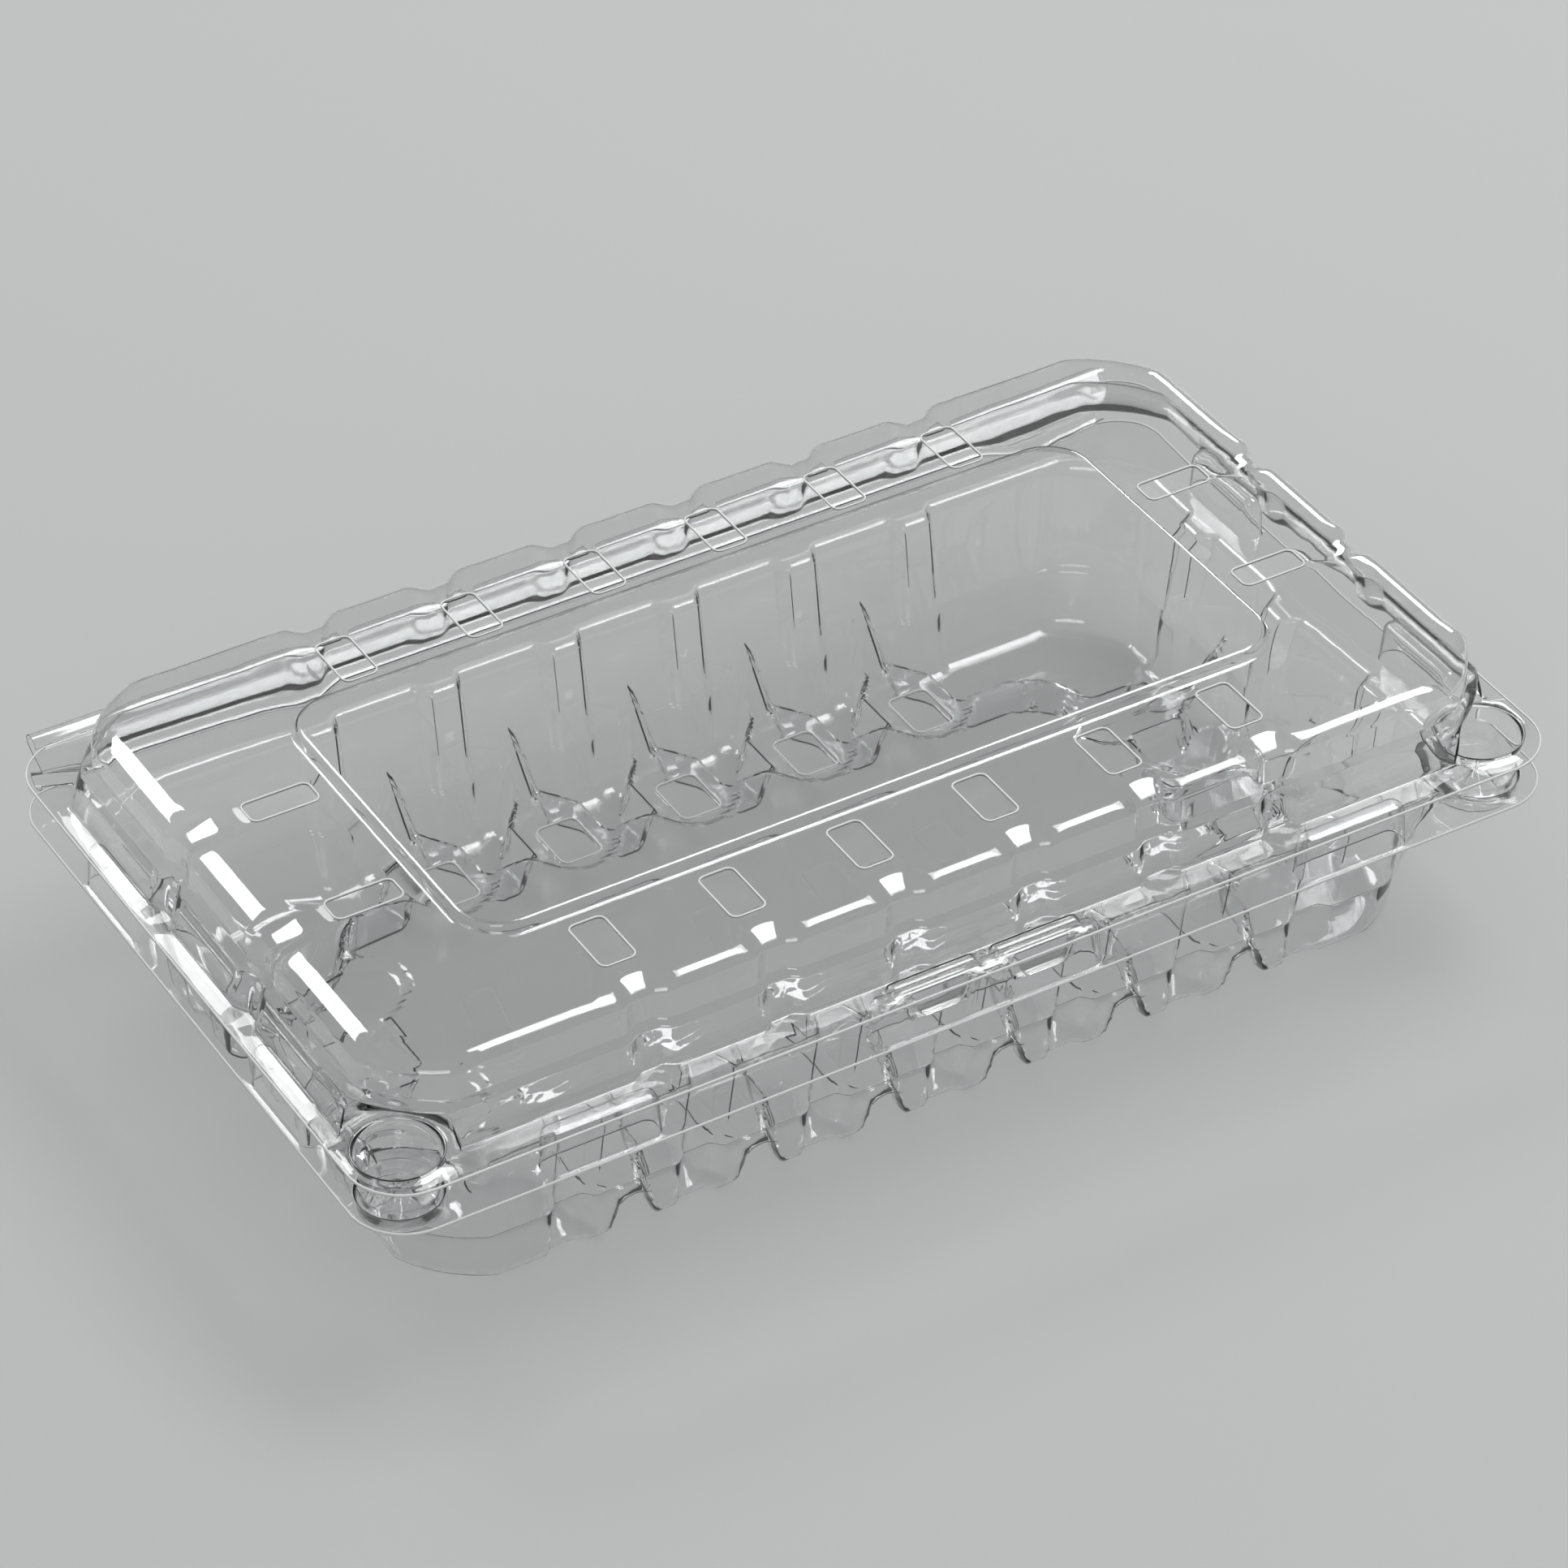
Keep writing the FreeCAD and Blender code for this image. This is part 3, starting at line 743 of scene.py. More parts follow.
@dataclass
class Lid:
    """Domed lid: flange, fluted walls, scooped shoulder, label panel, vents, buttons and latch lugs."""

    foot: Pair = (257.0, 141.0)
    wall: Pair = (253.0, 139.0)
    brow: Pair = (249.0, 136.0)
    crown: Pair = (236.0, 129.5)
    wall_rise: float = 8.2
    brow_rise: float = 9.3
    shoulder_rise: float = 14.6
    skirt: float = 1.0
    skirt_round: float = 0.9
    ledge_round: float = 0.4
    shoulder_turn: int = 9
    flute_depth: float = 1.7
    scoop: float = 7.4
    scoop_flare: float = 3.8
    panel: Pair = (181.0, 81.0)
    panel_corner: float = 10.0
    panel_rise: float = 2.2
    panel_step: tuple[Pair, ...] = (
        (1.0, 0.0), (0.55, 0.08), (0.25, 0.35), (0.0, 1.0), (-0.25, 1.75), (-0.55, 2.1), (-1.0, 2.2))
    vent: Pair = (7.3, 13.4)
    vent_row: float = 50.9
    side_vent: Pair = (14.3, 6.0)
    side_vent_at: Pair = (102.1, 17.1)
    vent_corner: float = 1.6
    cup: tuple[Pair, ...] = (
        (9.6, 0.0), (9.3, 0.25), (9.0, 0.4), (8.7, 0.25), (8.55, -0.3), (8.45, -2.6), (8.2, -3.1),
        (8.0, -3.4), (7.85, -5.5), (7.7, -8.2), (7.5, -8.7), (7.25, -9.1), (7.1, -11.2), (6.9, -11.9),
        (6.3, -12.2), (5.4, -12.2), (4.6, -11.6), (3.2, -10.6), (1.6, -10.1))
    cup_lobes: int = 5
    cup_lobe_rise: float = 0.5
    lug: Quad = (11.5, 13.0, 2.6, 4.6)
    lug_side: tuple[Pair, ...] = (
        (0.0, 0.0), (-0.25, -0.35), (-0.35, -1.0), (-0.6, -3.6), (-0.9, -4.3), (-1.15, -4.6))
    lug_taper: float = 2.2
    rib: Quad = (20.0, 3.2, 1.4, 73.0)
    rib_side: tuple[Pair, ...] = ((0.3, 0.0), (0.0, 0.2), (-0.25, 0.8), (-0.55, 1.25), (-1.0, 1.4))
    outline: Outline = field(default_factory=lambda: Outline(
        front=tuple(bays(LONG_BAYS, PLAN.pitch)), back=tuple(bays(LONG_BAYS, PLAN.pitch)), side=(-17.5, 17.5),
        flat=3.6, jog=3.2, corner=14.0))

    @property
    def flange_z(self) -> float:
        """Middle of the lid's flange."""
        return PLAN.lid_under + PLAN.half

    @property
    def plate_z(self) -> float:
        """Middle of the flat top plate."""
        return PLAN.lid_top - PLAN.half

    def _level(self, size: Pair, rise: float) -> Level:
        """A level of the wall from its outer size and its rise above the flange's top face."""
        z = PLAN.lid_under + PLAN.sheet + rise
        return Level(size[0] / 2 - PLAN.half, size[1] / 2 - PLAN.half, z, self.flute_depth)

    def wall_levels(self) -> list[Level]:
        """Levels of the dome from its fillet on the flange to the top plate."""
        d = self.flute_depth
        foot = replace(self._level(self.foot, 0.0), z=self.flange_z, wrap=1.0)
        low = self._level(self.wall, self.wall_rise)
        knots = [(foot.spread(self.skirt), 0.0), (foot, self.skirt_round)]
        knots += [(foot.mix(low, k / 4), 0.0) for k in (1, 2, 3)]
        knots += [(low, self.ledge_round), (self._level(self.brow, self.brow_rise), self.ledge_round)]
        shoulder = self._level(self.brow, self.shoulder_rise)
        levels = rounded([*knots, (shoulder, 0.0)])
        wide = [(self.brow[i] - self.crown[i]) / 2 for i in (0, 1)]
        drop = self.plate_z - shoulder.z
        for i in range(1, self.shoulder_turn + 1):
            a = math.pi / 2 * i / self.shoulder_turn
            over = 1 - math.cos(a)
            levels.append(Level(
                shoulder.half_len - wide[0] * over, shoulder.half_wid - wide[1] * over,
                shoulder.z + drop * math.sin(a), d + (self.scoop - d) * over, 0.0, self.scoop_flare * over))
        return levels

    def openings(self) -> list[Opening]:
        """Both kinds of vent in the top plate, with their places."""
        x, y = self.side_vent_at
        rows = [(c, r, self.plate_z)
                for c in bays(LONG_BAYS, PLAN.pitch) for r in (-self.vent_row, self.vent_row)]
        ends = [(sx * x, sy * y, self.plate_z) for sx in (-1, 1) for sy in (-1, 1)]
        return [Opening(*self.vent, self.vent_corner, rows), Opening(*self.side_vent, self.vent_corner, ends)]

    def panel_rings(self) -> list[np.ndarray]:
        """Raised step of the label panel, rounded at its foot and its edge."""
        return [slab(self.panel[0] + 2 * grow, self.panel[1] + 2 * grow, self.panel_corner + grow,
                     self.plate_z + up * self.panel_rise / self.panel_step[-1][1], turn=14)
                for grow, up in self.panel_step]

    def add_buttons(self, sheet: Sheet) -> list[np.ndarray]:
        """Adds the two stepped cups and returns their rims, for the flange to leave open."""
        rims = []
        for sx in (-1, 1):
            rings = [circle(sx * PLAN.button_x, PLAN.button_y, r, self.flange_z + z) for r, z in self.cup]
            for ring in rings[-3:]:
                a = np.arctan2(ring[:, 1] - PLAN.button_y, ring[:, 0] - sx * PLAN.button_x)
                ring[:, 2] += self.cup_lobe_rise * np.cos(self.cup_lobes * a)
            sheet.loft(rings)
            sheet.cap(rings[-1], (sx * PLAN.button_x, PLAN.button_y, self.flange_z + self.cup[-1][1] + 0.1))
            rims.append(rings[0])
        return rims

    def add_latch(self, sheet: Sheet) -> list[np.ndarray]:
        """Adds the two hanging lugs and the ribs behind them and returns their edges on the flange."""
        edges = []
        at, wid, deep, drop = self.lug
        y = -PLAN.flange_wid / 2 + (PLAN.sheet + deep) / 2
        length, thick, rise, rib_y = self.rib
        for sx in (-1, 1):
            rings = []
            for grow, dz in self.lug_side:
                w = wid + 2 * grow + self.lug_taper * dz / drop
                d = deep - PLAN.sheet + 0.45 * grow
                rings.append(slab(w, d, d / 2.2, self.flange_z + dz, sx * at, y, turn=6))
            edges.append(sheet.boss(rings))
            edges.append(sheet.boss([
                slab(length + 2 * grow, thick + 2 * grow, (thick + 2 * grow) / 2.2,
                     self.flange_z + dz * rise / self.rib_side[-1][1], sx * at, -rib_y, turn=6)
                for grow, dz in self.rib_side]))
        return edges

    def build(self, finish: bpy.types.Material) -> bpy.types.Object:
        """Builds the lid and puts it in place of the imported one.

        Args:
            finish: Clear sheet material.

        Returns:
            The lid.
        """
        sheet = Sheet()
        rings = [self.outline.ring(level) for level in self.wall_levels()]
        sheet.loft(rings)
        panel = sheet.boss(self.panel_rings())
        sheet.plate(rings[-1], [panel, *[ring for kind in self.openings() for ring in kind.rings()]])
        open_rings = [rings[0], *self.add_buttons(sheet), *self.add_latch(sheet)]
        sheet.plate(flange_edge(self.flange_z), open_rings)
        add_bead(sheet, self.flange_z, 1.0)
        obj = sheet.build("lid_sheet_formed", PLAN.sheet)
        dress(obj, finish, "lid_body")
        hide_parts("lid")
        return obj


def flange_edge(z: float) -> np.ndarray:
    """Outer edge of a flange."""
    size = (PLAN.flange_len - 2 * EDGE_LAP, PLAN.flange_wid - 2 * EDGE_LAP, PLAN.flange_corner)
    return dense(slab(*size, z, turn=EDGE_TURN), EDGE_STEP)


def add_bead(sheet: Sheet, z: float, sign: float) -> None:
    """Adds the half-round bead along a flange's back edge.

    Args:
        sheet: The sheet that it belongs to.
        z: Height of the flange.
        sign: 1 for a bead that stands up and -1 for one that hangs down.
    """
    r = PLAN.bead_r - PLAN.half
    a = np.linspace(math.pi, 0, 17)
    y = PLAN.bead_y + r * np.cos(a)
    height = z + sign * (r * np.sin(a) - BEAD_SINK)
    xs = np.linspace(-PLAN.fold_len / 2, PLAN.fold_len / 2, 40)
    sheet.loft([np.column_stack([np.full(len(a), x), y, height]) for x in xs], closed=False)


# ---- The tray ----


class Face(Enum):
    """Side of the tray that a moulded fin leans on."""

    FRONT = (0.0, -1.0)
    BACK = (0.0, 1.0)
    LEFT = (-1.0, 0.0)
    RIGHT = (1.0, 0.0)


@dataclass(frozen=True)
class Fin:
    """Leaf-shaped fin: peak, half its width at the ground, how round its sides, tip and crest are."""

    peak: float
    half: float
    power: float
    tip: float
    bow: float


@dataclass
class Tray:
    """Tray: fluted walls on moulded feet, raised floor, fins, bridges, flange pads, sockets and latch."""

    mouth: Pair = (242.0, 135.0)
    foot: Pair = (229.0, 122.0)
    foot_radius: float = 4.0
    foot_turn: int = 6
    skirt: float = 2.8
    wrap_z: tuple[float, ...] = (31.6, 30.2, 28.8, 27.5, 26.2)
    wrap_run: float = 10.0
    high_z: tuple[float, ...] = (23.0, 20.0, 17.5)
    step_z: float = 14.3
    step_tall: float = 0.5
    step_in: float = 0.8
    step_round: float = 0.6
    step_fade: float = 10.0
    low_z: tuple[float, ...] = (11.0, 8.5, 6.0)
    flute_depth: float = 3.5
    flute_foot: float = 1.4
    floor: Pair = (178.0, 78.0)
    floor_corner: float = 15.0
    floor_rise: float = 10.5
    floor_draft: float = 1.9
    bridge_drop: float = 1.4
    bridge_wid: float = 19.6
    bridge_ends: Pair = (10.0, 6.0)
    bridge_corner: float = 1.5
    bridge_merge: float = 3.5
    arch_half: float = 5.5
    arch_draft: float = 3.0
    taper_from: float = 9.5
    taper_run: float = 9.0
    notch_r: float = 9.0
    notch_merge: float = 2.5
    notch_draft: float = 1.1
    fin_run: float = 10.5
    fin_end: float = 1.05
    fin_seat: float = 0.48
    fin_round: Pair = (0.4, 1.4)
    fin_round_z: float = 7.0
    front_fin: Fin = Fin(9.8, 5.4, 1.8, 0.5, 1.4)
    back_fin: Fin = Fin(22.5, 6.6, 1.25, 0.2, 1.0)
    side_fin: Fin = Fin(20.0, 6.6, 1.25, 0.5, 1.2)
    side_fins: tuple[float, ...] = (-16.5, 16.5)
    slot: Pair = (9.0, 12.5)
    slot_corner: float = 1.8
    slot_y: float = 39.0
    grid_half: Triple = (84.0, 112.0, 57.0)
    grid_step: Pair = (0.8, 1.2)
    grid_clear: Pair = (0.9, 0.35)
    pad_wid: float = 5.6
    pad_in: float = 1.2
    pad_gap: float = 0.25
    pad_side: tuple[Pair, ...] = (
        (0.7, 0.0), (0.2, 0.15), (0.0, 0.8), (-0.35, 7.6), (-0.6, 8.35), (-1.2, 8.75))
    front_pad: Pair = (84.0, 25.0)
    side_pad: Pair = (35.0, 23.0)
    latch_len: float = 51.0
    latch_hill: Triple = (11.5, 6.9, 4.2)
    latch_back: float = -74.2
    latch_side: tuple[Pair, ...] = (
        (0.7, 0.0), (0.2, 0.02), (0.0, 0.1), (-0.35, 0.86), (-0.6, 0.95), (-1.2, 1.0))
    socket: tuple[Pair, ...] = (
        (9.0, 0.0), (8.6, -0.15), (8.35, -0.7), (8.0, -4.0), (7.6, -4.5), (6.9, -4.75))
    outline: Outline = field(default_factory=lambda: Outline(
        front=tuple(bays(LONG_BAYS + 1, PLAN.pitch)), back=tuple(bays(LONG_BAYS, PLAN.pitch)),
        side=(-33.0, 0.0, 33.0), flat=5.6, jog=2.3, corner=14.2))

    @property
    def flange_z(self) -> float:
        """Middle of the tray's flange."""
        return PLAN.tray_top - PLAN.half

    @property
    def deck_z(self) -> float:
        """Middle of the bridges' flat tops."""
        return self.floor_rise - self.bridge_drop + PLAN.half

    def _at(self, z: float, shrink: float, wrap: float = 0.0) -> Level:
        """A level of the leaning wall at a height."""
        s = min((PLAN.tray_top - z) / (PLAN.tray_top - self.foot_radius), 1.0)
        size = [(m + (f - m) * s) / 2 - PLAN.half - shrink for m, f in zip(self.mouth, self.foot)]
        return Level(size[0], size[1], z, self.flute_depth + (self.flute_foot - self.flute_depth) * s, wrap)

    def wall_levels(self) -> list[Level]:
        """Levels of the wall from its fillet under the flange to the ground."""
        top = self._at(self.flange_z, 0.0, 1.0)
        knots = [(top.spread(self.skirt), 0.0), (top, self.skirt)]
        for z in self.wrap_z:
            wrap = float(smooth(np.array((z - self.wrap_z[-1]) / self.wrap_run)))
            knots.append((self._at(z, 0.0, wrap), 0.0))
        knots += [(self._at(z, 0.0), 0.0) for z in self.high_z]
        knots += [(self._at(self.step_z, 0.0), self.step_round),
                  (self._at(self.step_z - self.step_tall, self.step_in), self.step_round)]
        r = self.foot_radius
        knots += [(self._at(z, self.step_in * (z - r) / self.step_fade), 0.0) for z in self.low_z]
        levels = rounded(knots)
        for i in range(self.foot_turn + 1):
            a = math.pi / 2 * i / self.foot_turn
            z = PLAN.half + (r - PLAN.half) * (1 - math.sin(a))
            low = self._at(r, r * (1 - math.cos(a)))
            levels.append(Level(low.half_len, low.half_wid, z, low.depth))
        return levels

    def _supports(self) -> list[tuple[Face, float, Fin]]:
        """Side, place along it and fin of each moulded bridge."""
        out = [(Face.FRONT, c, self.front_fin) for c in bays(LONG_BAYS, PLAN.pitch)]
        out += [(Face.BACK, c, self.back_fin) for c in bays(LONG_BAYS - 1, PLAN.pitch)]
        out += [(side, c, self.side_fin) for side in (Face.LEFT, Face.RIGHT) for c in self.side_fins]
        return out

    def _reach(self, side: Face) -> Pair:
        """Edge of the raised floor towards a side, and where the wall stands behind a fin."""
        k = 1 if side.value[0] == 0 else 0
        edge = self.floor[k] / 2
        wall = self.foot[k] / 2 + (self.mouth[k] - self.foot[k]) / 2 * self.fin_seat
        return edge, wall

    def _fin(self, a: np.ndarray, out: np.ndarray, wall: float, fin: Fin) -> np.ndarray:
        """Height of one leaf-shaped fin.

        Args:
            a: Distance from the fin's middle, along the wall.
            out: Distance from the middle of the tray, towards the wall.
            wall: Where the wall stands at the fin's peak.
            fin: Its sizes.

        Returns:
            Height of the fin over each point, under the ground away from it.
        """
        run = (wall - out) / self.fin_run
        fall = np.sign(run) * np.abs(run) ** fin.bow
        crest = np.where(run < self.fin_end, self.deck_z + (fin.peak - self.deck_z) * (1 - fall), BURIED)
        off = np.hypot(a, fin.tip) - fin.tip
        return crest - fin.peak * (off / fin.half) ** fin.power

    def height(self, x: np.ndarray, y: np.ndarray) -> np.ndarray:
        """Height of the moulded floor: feet on the ground, raised middle, bridges and fins."""
        hx, hy = self.floor[0] / 2, self.floor[1] / 2
        plateau = box_distance(x, y, hx, hy, self.floor_corner)
        near = smooth((plateau - self.taper_from) / self.taper_run)
        draft = self.floor_draft + (self.arch_draft - self.floor_draft) * near
        low, notch, fins = plateau, np.full_like(x, FAR), np.full_like(x, BURIED)
        for side, c, fin in self._supports():
            dx, dy = side.value
            out = x * dx + y * dy
            a = (y if dy == 0 else x) - c
            edge, wall = self._reach(side)
            start, end = edge - self.bridge_ends[0], wall + self.bridge_ends[1]
            half = self.bridge_wid / 2 + (self.arch_half - self.bridge_wid / 2) * near
            bridge = box_distance(a, out - (start + end) / 2, half, (end - start) / 2, self.bridge_corner)
            low = -soft_max(-low, -bridge, self.bridge_merge)
            u = np.hypot(a, np.minimum(out - edge + 1.0, 0.0)) - self.notch_r
            notch = np.minimum(notch, u)
            fins = np.maximum(fins, self._fin(a, out, wall, fin))
        z = PLAN.half + (self.deck_z - PLAN.half) * smooth(-low / draft)
        high = soft_max(plateau + self.floor_draft, -notch, self.notch_merge)
        z = z + self.bridge_drop * smooth(-high / self.notch_draft + 0.5)
        round_off = self.fin_round[0] + self.fin_round[1] * smooth(1 - np.maximum(z, fins) / self.fin_round_z)
        return np.maximum(soft_max(z, fins, round_off), PLAN.half)

    def _grid(self, edge: np.ndarray) -> np.ndarray:
        """Points of the floor in plan, closer together over the fins."""
        (fine, coarse), (inner, hx, hy), (rim, hole) = self.grid_step, self.grid_half, self.grid_clear
        ends = np.arange(inner + coarse, hx, coarse)
        xs = np.concatenate([-ends[::-1], np.arange(-inner, inner + 0.1, fine), ends])
        flat = lattice(xs, np.arange(-hy, hy + 0.1, coarse))
        keep = inside(flat, edge[:, :2] * [1 - rim / (size / 2) for size in self.foot])
        for ring in self.openings()[0].rings():
            off = np.abs(flat - ring[:, :2].mean(0))
            keep &= (off >= np.array(self.slot) / 2 + hole).any(1)
        return flat[keep]

    def openings(self) -> list[Opening]:
        """The vents in the back bridges."""
        places = [(c, self.slot_y, self.deck_z) for c in bays(LONG_BAYS - 1, PLAN.pitch)]
        return [Opening(*self.slot, self.slot_corner, places)]

    def add_pads(self, sheet: Sheet) -> list[np.ndarray]:
        """Adds the spacer pads and the latch and returns their edges on the flange."""
        edges = []
        top = PLAN.lid_under - self.pad_gap - PLAN.half
        y = -PLAN.flange_wid / 2 + self.pad_in + self.pad_wid / 2
        x = PLAN.flange_len / 2 - self.pad_in - self.pad_wid / 2
        spots = [(self.front_pad[1], self.pad_wid, s * self.front_pad[0], y) for s in (-1, 1)]
        spots += [(self.pad_wid, self.side_pad[1], s * x, t * self.side_pad[0])
                  for s in (-1, 1) for t in (-1, 1)]
        for length, width, px, py in spots:
            rings = []
            for grow, up in self.pad_side:
                w, h = length + 2 * (grow - PLAN.half), width + 2 * (grow - PLAN.half)
                z = self.flange_z + up * (top - self.flange_z) / self.pad_side[-1][1]
                rings.append(slab(w, h, min(w, h) / 2.3, z, px, py))
            edges.append(sheet.boss(rings))
        edges.append(self.add_latch(sheet, y, top))
        return edges

    def add_latch(self, sheet: Sheet, y: float, top: float) -> np.ndarray:
        """Adds the latch with its two recesses for the lid's lugs and returns its edge on the flange."""
        at, half, drop = self.latch_hill

        def level(px: np.ndarray, py: np.ndarray) -> np.ndarray:
            hole = smooth((half + 1.2 - np.abs(np.abs(px) - at)) / 2.0)
            return top - (drop + 0.6) * hole * smooth(self.latch_back - py + 0.5)

        rings = []
        for grow, up in self.latch_side:
            w, h = self.latch_len + 2 * (grow - PLAN.half), self.pad_wid + 2 * (grow - PLAN.half)
            ring = dense(slab(w, h, h / 2.3, 0.0, 0.0, y, turn=6), 0.9)
            ring[:, 2] = self.flange_z + up * (level(ring[:, 0], ring[:, 1]) - self.flange_z)
            rings.append(ring)
        n = min(len(r) for r in rings)
        rings = [resample(r, n) for r in rings]
        sheet.loft(rings)
        flat = lattice(np.arange(-24.0, 24.1, 0.8), np.arange(y - 2.0, y + 2.1, 0.7))
        inner = rings[-1].copy()
        inner[:, 0] *= 0.985
        inner[:, 1] = y + (inner[:, 1] - y) * 0.85
        sheet.plate(rings[-1], (), level, flat[inside(flat, inner)])
        return rings[0]

    def add_sockets(self, sheet: Sheet) -> list[np.ndarray]:
        """Adds the cups that take the lid's buttons and returns their rims."""
        return [sheet.boss([circle(sx * PLAN.button_x, PLAN.button_y, r, self.flange_z + z)
                            for r, z in self.socket]) for sx in (-1, 1)]

    def build(self, finish: bpy.types.Material) -> bpy.types.Object:
        """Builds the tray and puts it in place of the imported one.

        Args:
            finish: Clear sheet material.

        Returns:
            The tray.
        """
        sheet = Sheet()
        rings = [self.outline.ring(level) for level in self.wall_levels()]
        for ring in rings:
            ring[:, 2] = np.maximum(ring[:, 2], self.height(ring[:, 0], ring[:, 1]))
        sheet.loft(rings)
        sheet.plate(rings[-1], self.openings()[0].rings(), self.height, self._grid(rings[-1]))
        open_rings = [rings[0], *self.add_pads(sheet), *self.add_sockets(sheet)]
        sheet.plate(flange_edge(self.flange_z), open_rings)
        add_bead(sheet, self.flange_z, -1.0)
        obj = sheet.build("tray_sheet_formed", PLAN.sheet)
        dress(obj, finish, "tray_body")
        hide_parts("tray")
        return obj


def dense(ring: np.ndarray, step: float) -> np.ndarray:
    """The same closed ring with a point at least every step."""
    out = []
    for a, b in zip(ring, np.roll(ring, -1, 0)):
        count = max(1, int(math.ceil(np.linalg.norm(b - a) / step)))
        out += [a + (b - a) * k / count for k in range(count)]
    return np.array(out)


def resample(ring: np.ndarray, count: int) -> np.ndarray:
    """The same closed ring with count points, evenly spread from its first one."""
    loop = np.vstack([ring, ring[:1]])
    run = np.concatenate([[0.0], np.cumsum(np.linalg.norm(np.diff(loop[:, :2], axis=0), axis=1))])
    at = np.linspace(0, run[-1], count, endpoint=False)
    return np.column_stack([np.interp(at, run, loop[:, k]) for k in range(3)])


# ---- The folding web ----


@dataclass
class Web:
    """Creased strip that folds in between the two beads."""

    fold_in: float = 6.0
    gap: float = 0.25
    steps: int = 8
    crease: float = 0.004

    def build(self, finish: bpy.types.Material) -> bpy.types.Object:
        """Builds the web as a strip creased inward between the tray and the lid.

        Args:
            finish: Clear sheet material.

        Returns:
            The web.
        """
        y = PLAN.bead_y + PLAN.bead_r - PLAN.half
        z0, z1 = PLAN.tray_top + self.gap, PLAN.lid_under - self.gap
        t = np.linspace(-1, 1, 2 * self.steps + 1)
        dip = 1 - np.sqrt(t * t + self.crease) + 0.03
        ys = y - self.fold_in * np.clip(dip, 0, 1) + PLAN.half
        zs = (z0 + z1) / 2 + t * (z1 - z0) / 2
        sheet = Sheet()
        xs = np.linspace(-PLAN.fold_len / 2, PLAN.fold_len / 2, 30)
        sheet.loft([np.column_stack([np.full(len(t), x), ys, zs]) for x in xs], closed=False)
        obj = sheet.build("fold_web_creased", PLAN.sheet)
        dress(obj, finish, None)
        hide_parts("hinge_web")
        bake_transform(obj)
        return obj


# ---- Floor, light and camera ----


@dataclass(frozen=True)
class Lamp:
    """One soft light: where it stands, how large and how strong it is."""

    name: str
    at: Triple
    size: Pair
    power: float

    def build(self, aim: Vector) -> None:
        """Adds the light, turned to a point."""
        lamp = bpy.data.lights.new(self.name, "AREA")
        lamp.shape = "RECTANGLE"
        lamp.size, lamp.size_y = self.size
        lamp.energy = self.power
        obj = place(self.name, lamp)
        obj.location = self.at
        obj.rotation_euler = (aim - Vector(self.at)).to_track_quat("-Z", "Y").to_euler()


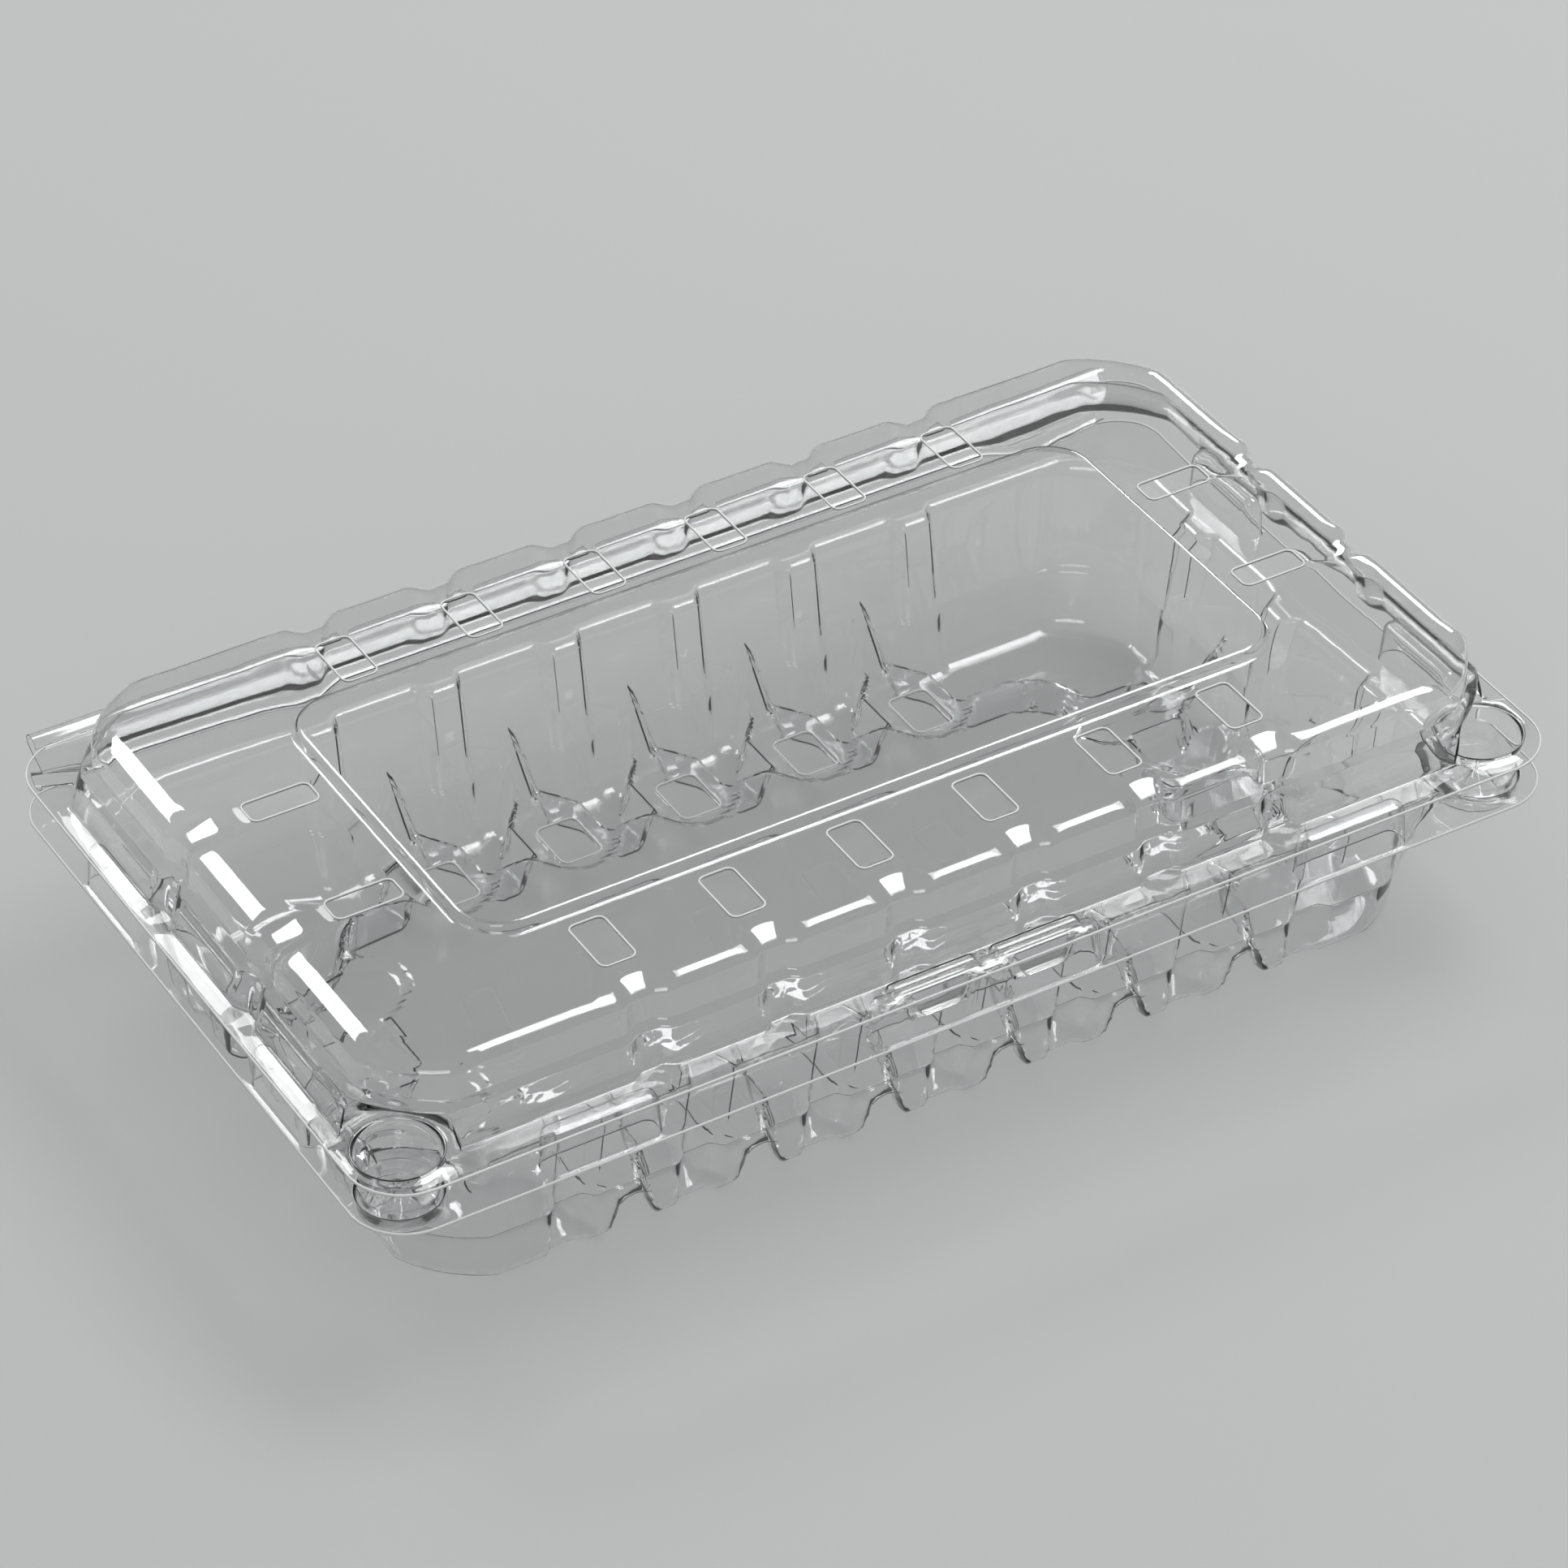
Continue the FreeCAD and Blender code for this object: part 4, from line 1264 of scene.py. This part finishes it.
@dataclass
class Studio:
    """Pale floor, soft lights and the camera of the photograph."""

    azimuth: float = math.radians(-30.7284)
    elevation: float = math.radians(38.04)
    roll: float = math.radians(-0.1592)
    distance: float = 45.04
    shift: Pair = (0.00957, 0.71534)
    focal_px: float = 7956.6
    image_px: float = 1932.0
    sensor_mm: float = 36.0
    floor_half: float = 3.0
    floor_gap: float = 0.0002
    surround: float = 0.2
    aim: Triple = (0.0, 0.0, 0.04)
    lamps: tuple[Lamp, ...] = (
        Lamp("overhead", (1.19, 0.1, 2.42), (1.9, 1.1), 48.0),
        Lamp("back", (-0.3, 1.95, 2.0), (1.3, 0.6), 18.0),
        Lamp("right", (2.3, 2.0, 0.9), (0.9, 0.4), 8.0),
        Lamp("fill", (-1.7, -2.2, 1.7), (1.2, 1.2), 18.0))

    def floor(self, finish: bpy.types.Material) -> None:
        """Builds the floor."""
        h, z = self.floor_half, -self.floor_gap
        mesh = bpy.data.meshes.new("floor")
        mesh.from_pydata([(-h, -h, z), (h, -h, z), (h, h, z), (-h, h, z)], [], [(0, 1, 2, 3)])
        obj = place("floor", mesh)
        mesh.materials.append(finish)
        obj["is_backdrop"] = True

    def world(self) -> None:
        """Sets the plain surround."""
        world = bpy.data.worlds.new("surround")
        bpy.context.scene.world = world
        world.use_nodes = True
        back = world.node_tree.nodes["Background"]
        back.inputs["Color"].default_value = (self.surround, self.surround, self.surround, 1.0)

    def camera(self) -> None:
        """Puts the camera where the photograph's was."""
        az, el, roll = self.azimuth, self.elevation, self.roll
        back = Vector((math.sin(az) * math.cos(el), -math.cos(az) * math.cos(el), math.sin(el)))
        right = Vector((0, 0, 1)).cross(back).normalized()
        up = back.cross(right)
        x_axis = right * math.cos(roll) + up * math.sin(roll)
        y_axis = up * math.cos(roll) - right * math.sin(roll)
        spot = (x_axis * -self.shift[0] + y_axis * -self.shift[1] + back * self.distance) * PLAN.pitch
        spot += Vector((0, -PLAN.origin_y, PLAN.lid_top))
        data = bpy.data.cameras.new("camera")
        data.sensor_width = self.sensor_mm
        data.lens = self.sensor_mm * self.focal_px / self.image_px
        data.clip_start, data.clip_end = 0.05, 20.0
        obj = place("camera", data)
        frame = Matrix((x_axis, y_axis, back)).transposed().to_4x4()
        frame.translation = spot * MM
        obj.matrix_world = frame
        bpy.context.scene.camera = obj

    def build(self) -> None:
        """Sets up floor, lights, surround and camera."""
        self.floor(MattFloor().material())
        self.world()
        for lamp in self.lamps:
            lamp.build(Vector(self.aim))
        self.camera()
        scene = bpy.context.scene
        scene.view_settings.view_transform = "Standard"
        scene.cycles.diffuse_bounces, scene.cycles.glossy_bounces = 2, 4
        for limit in ("max_bounces", "transmission_bounces", "transparent_max_bounces"):
            setattr(scene.cycles, limit, 12)
        scene.cycles.caustics_reflective = scene.cycles.caustics_refractive = False


def note(label: str) -> dict[str, list[float]]:
    """Logs the bounds of what is shown and returns them as plain lists."""
    low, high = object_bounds()
    LOG.info("%s: %s to %s", label, list(low), list(high))
    return {label: [list(low), list(high)]}


def main() -> None:
    """Builds the pack, its stage and its light."""
    logging.basicConfig(level=logging.INFO, format="%(name)s: %(message)s")
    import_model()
    size = note("packed")
    clear = {slot: ClearSheet(slot).material() for slot in ("lid_sheet", "tray_sheet", "fold_sheet")}
    frosted = FrostedEdge("cut_edge").material()
    tray, lid, edges = Tray(), Lid(), CutEdges()
    made = [
        tray.build(clear["tray_sheet"]),
        edges.build("tray_cut_edges", tray.openings(), tray.flange_z, frosted, "tray_sheet", "tray_body"),
        lid.build(clear["lid_sheet"]),
        edges.build("lid_cut_edges", lid.openings(), lid.flange_z, frosted, "lid_sheet", "lid_body"),
        Web().build(clear["fold_sheet"]),
    ]
    for piece in made:
        LOG.info("%s: %d faces", piece.name, len(piece.data.polygons))
    Studio().build()
    size.update(note("dressed"))


if __name__ == "__main__":
    main()
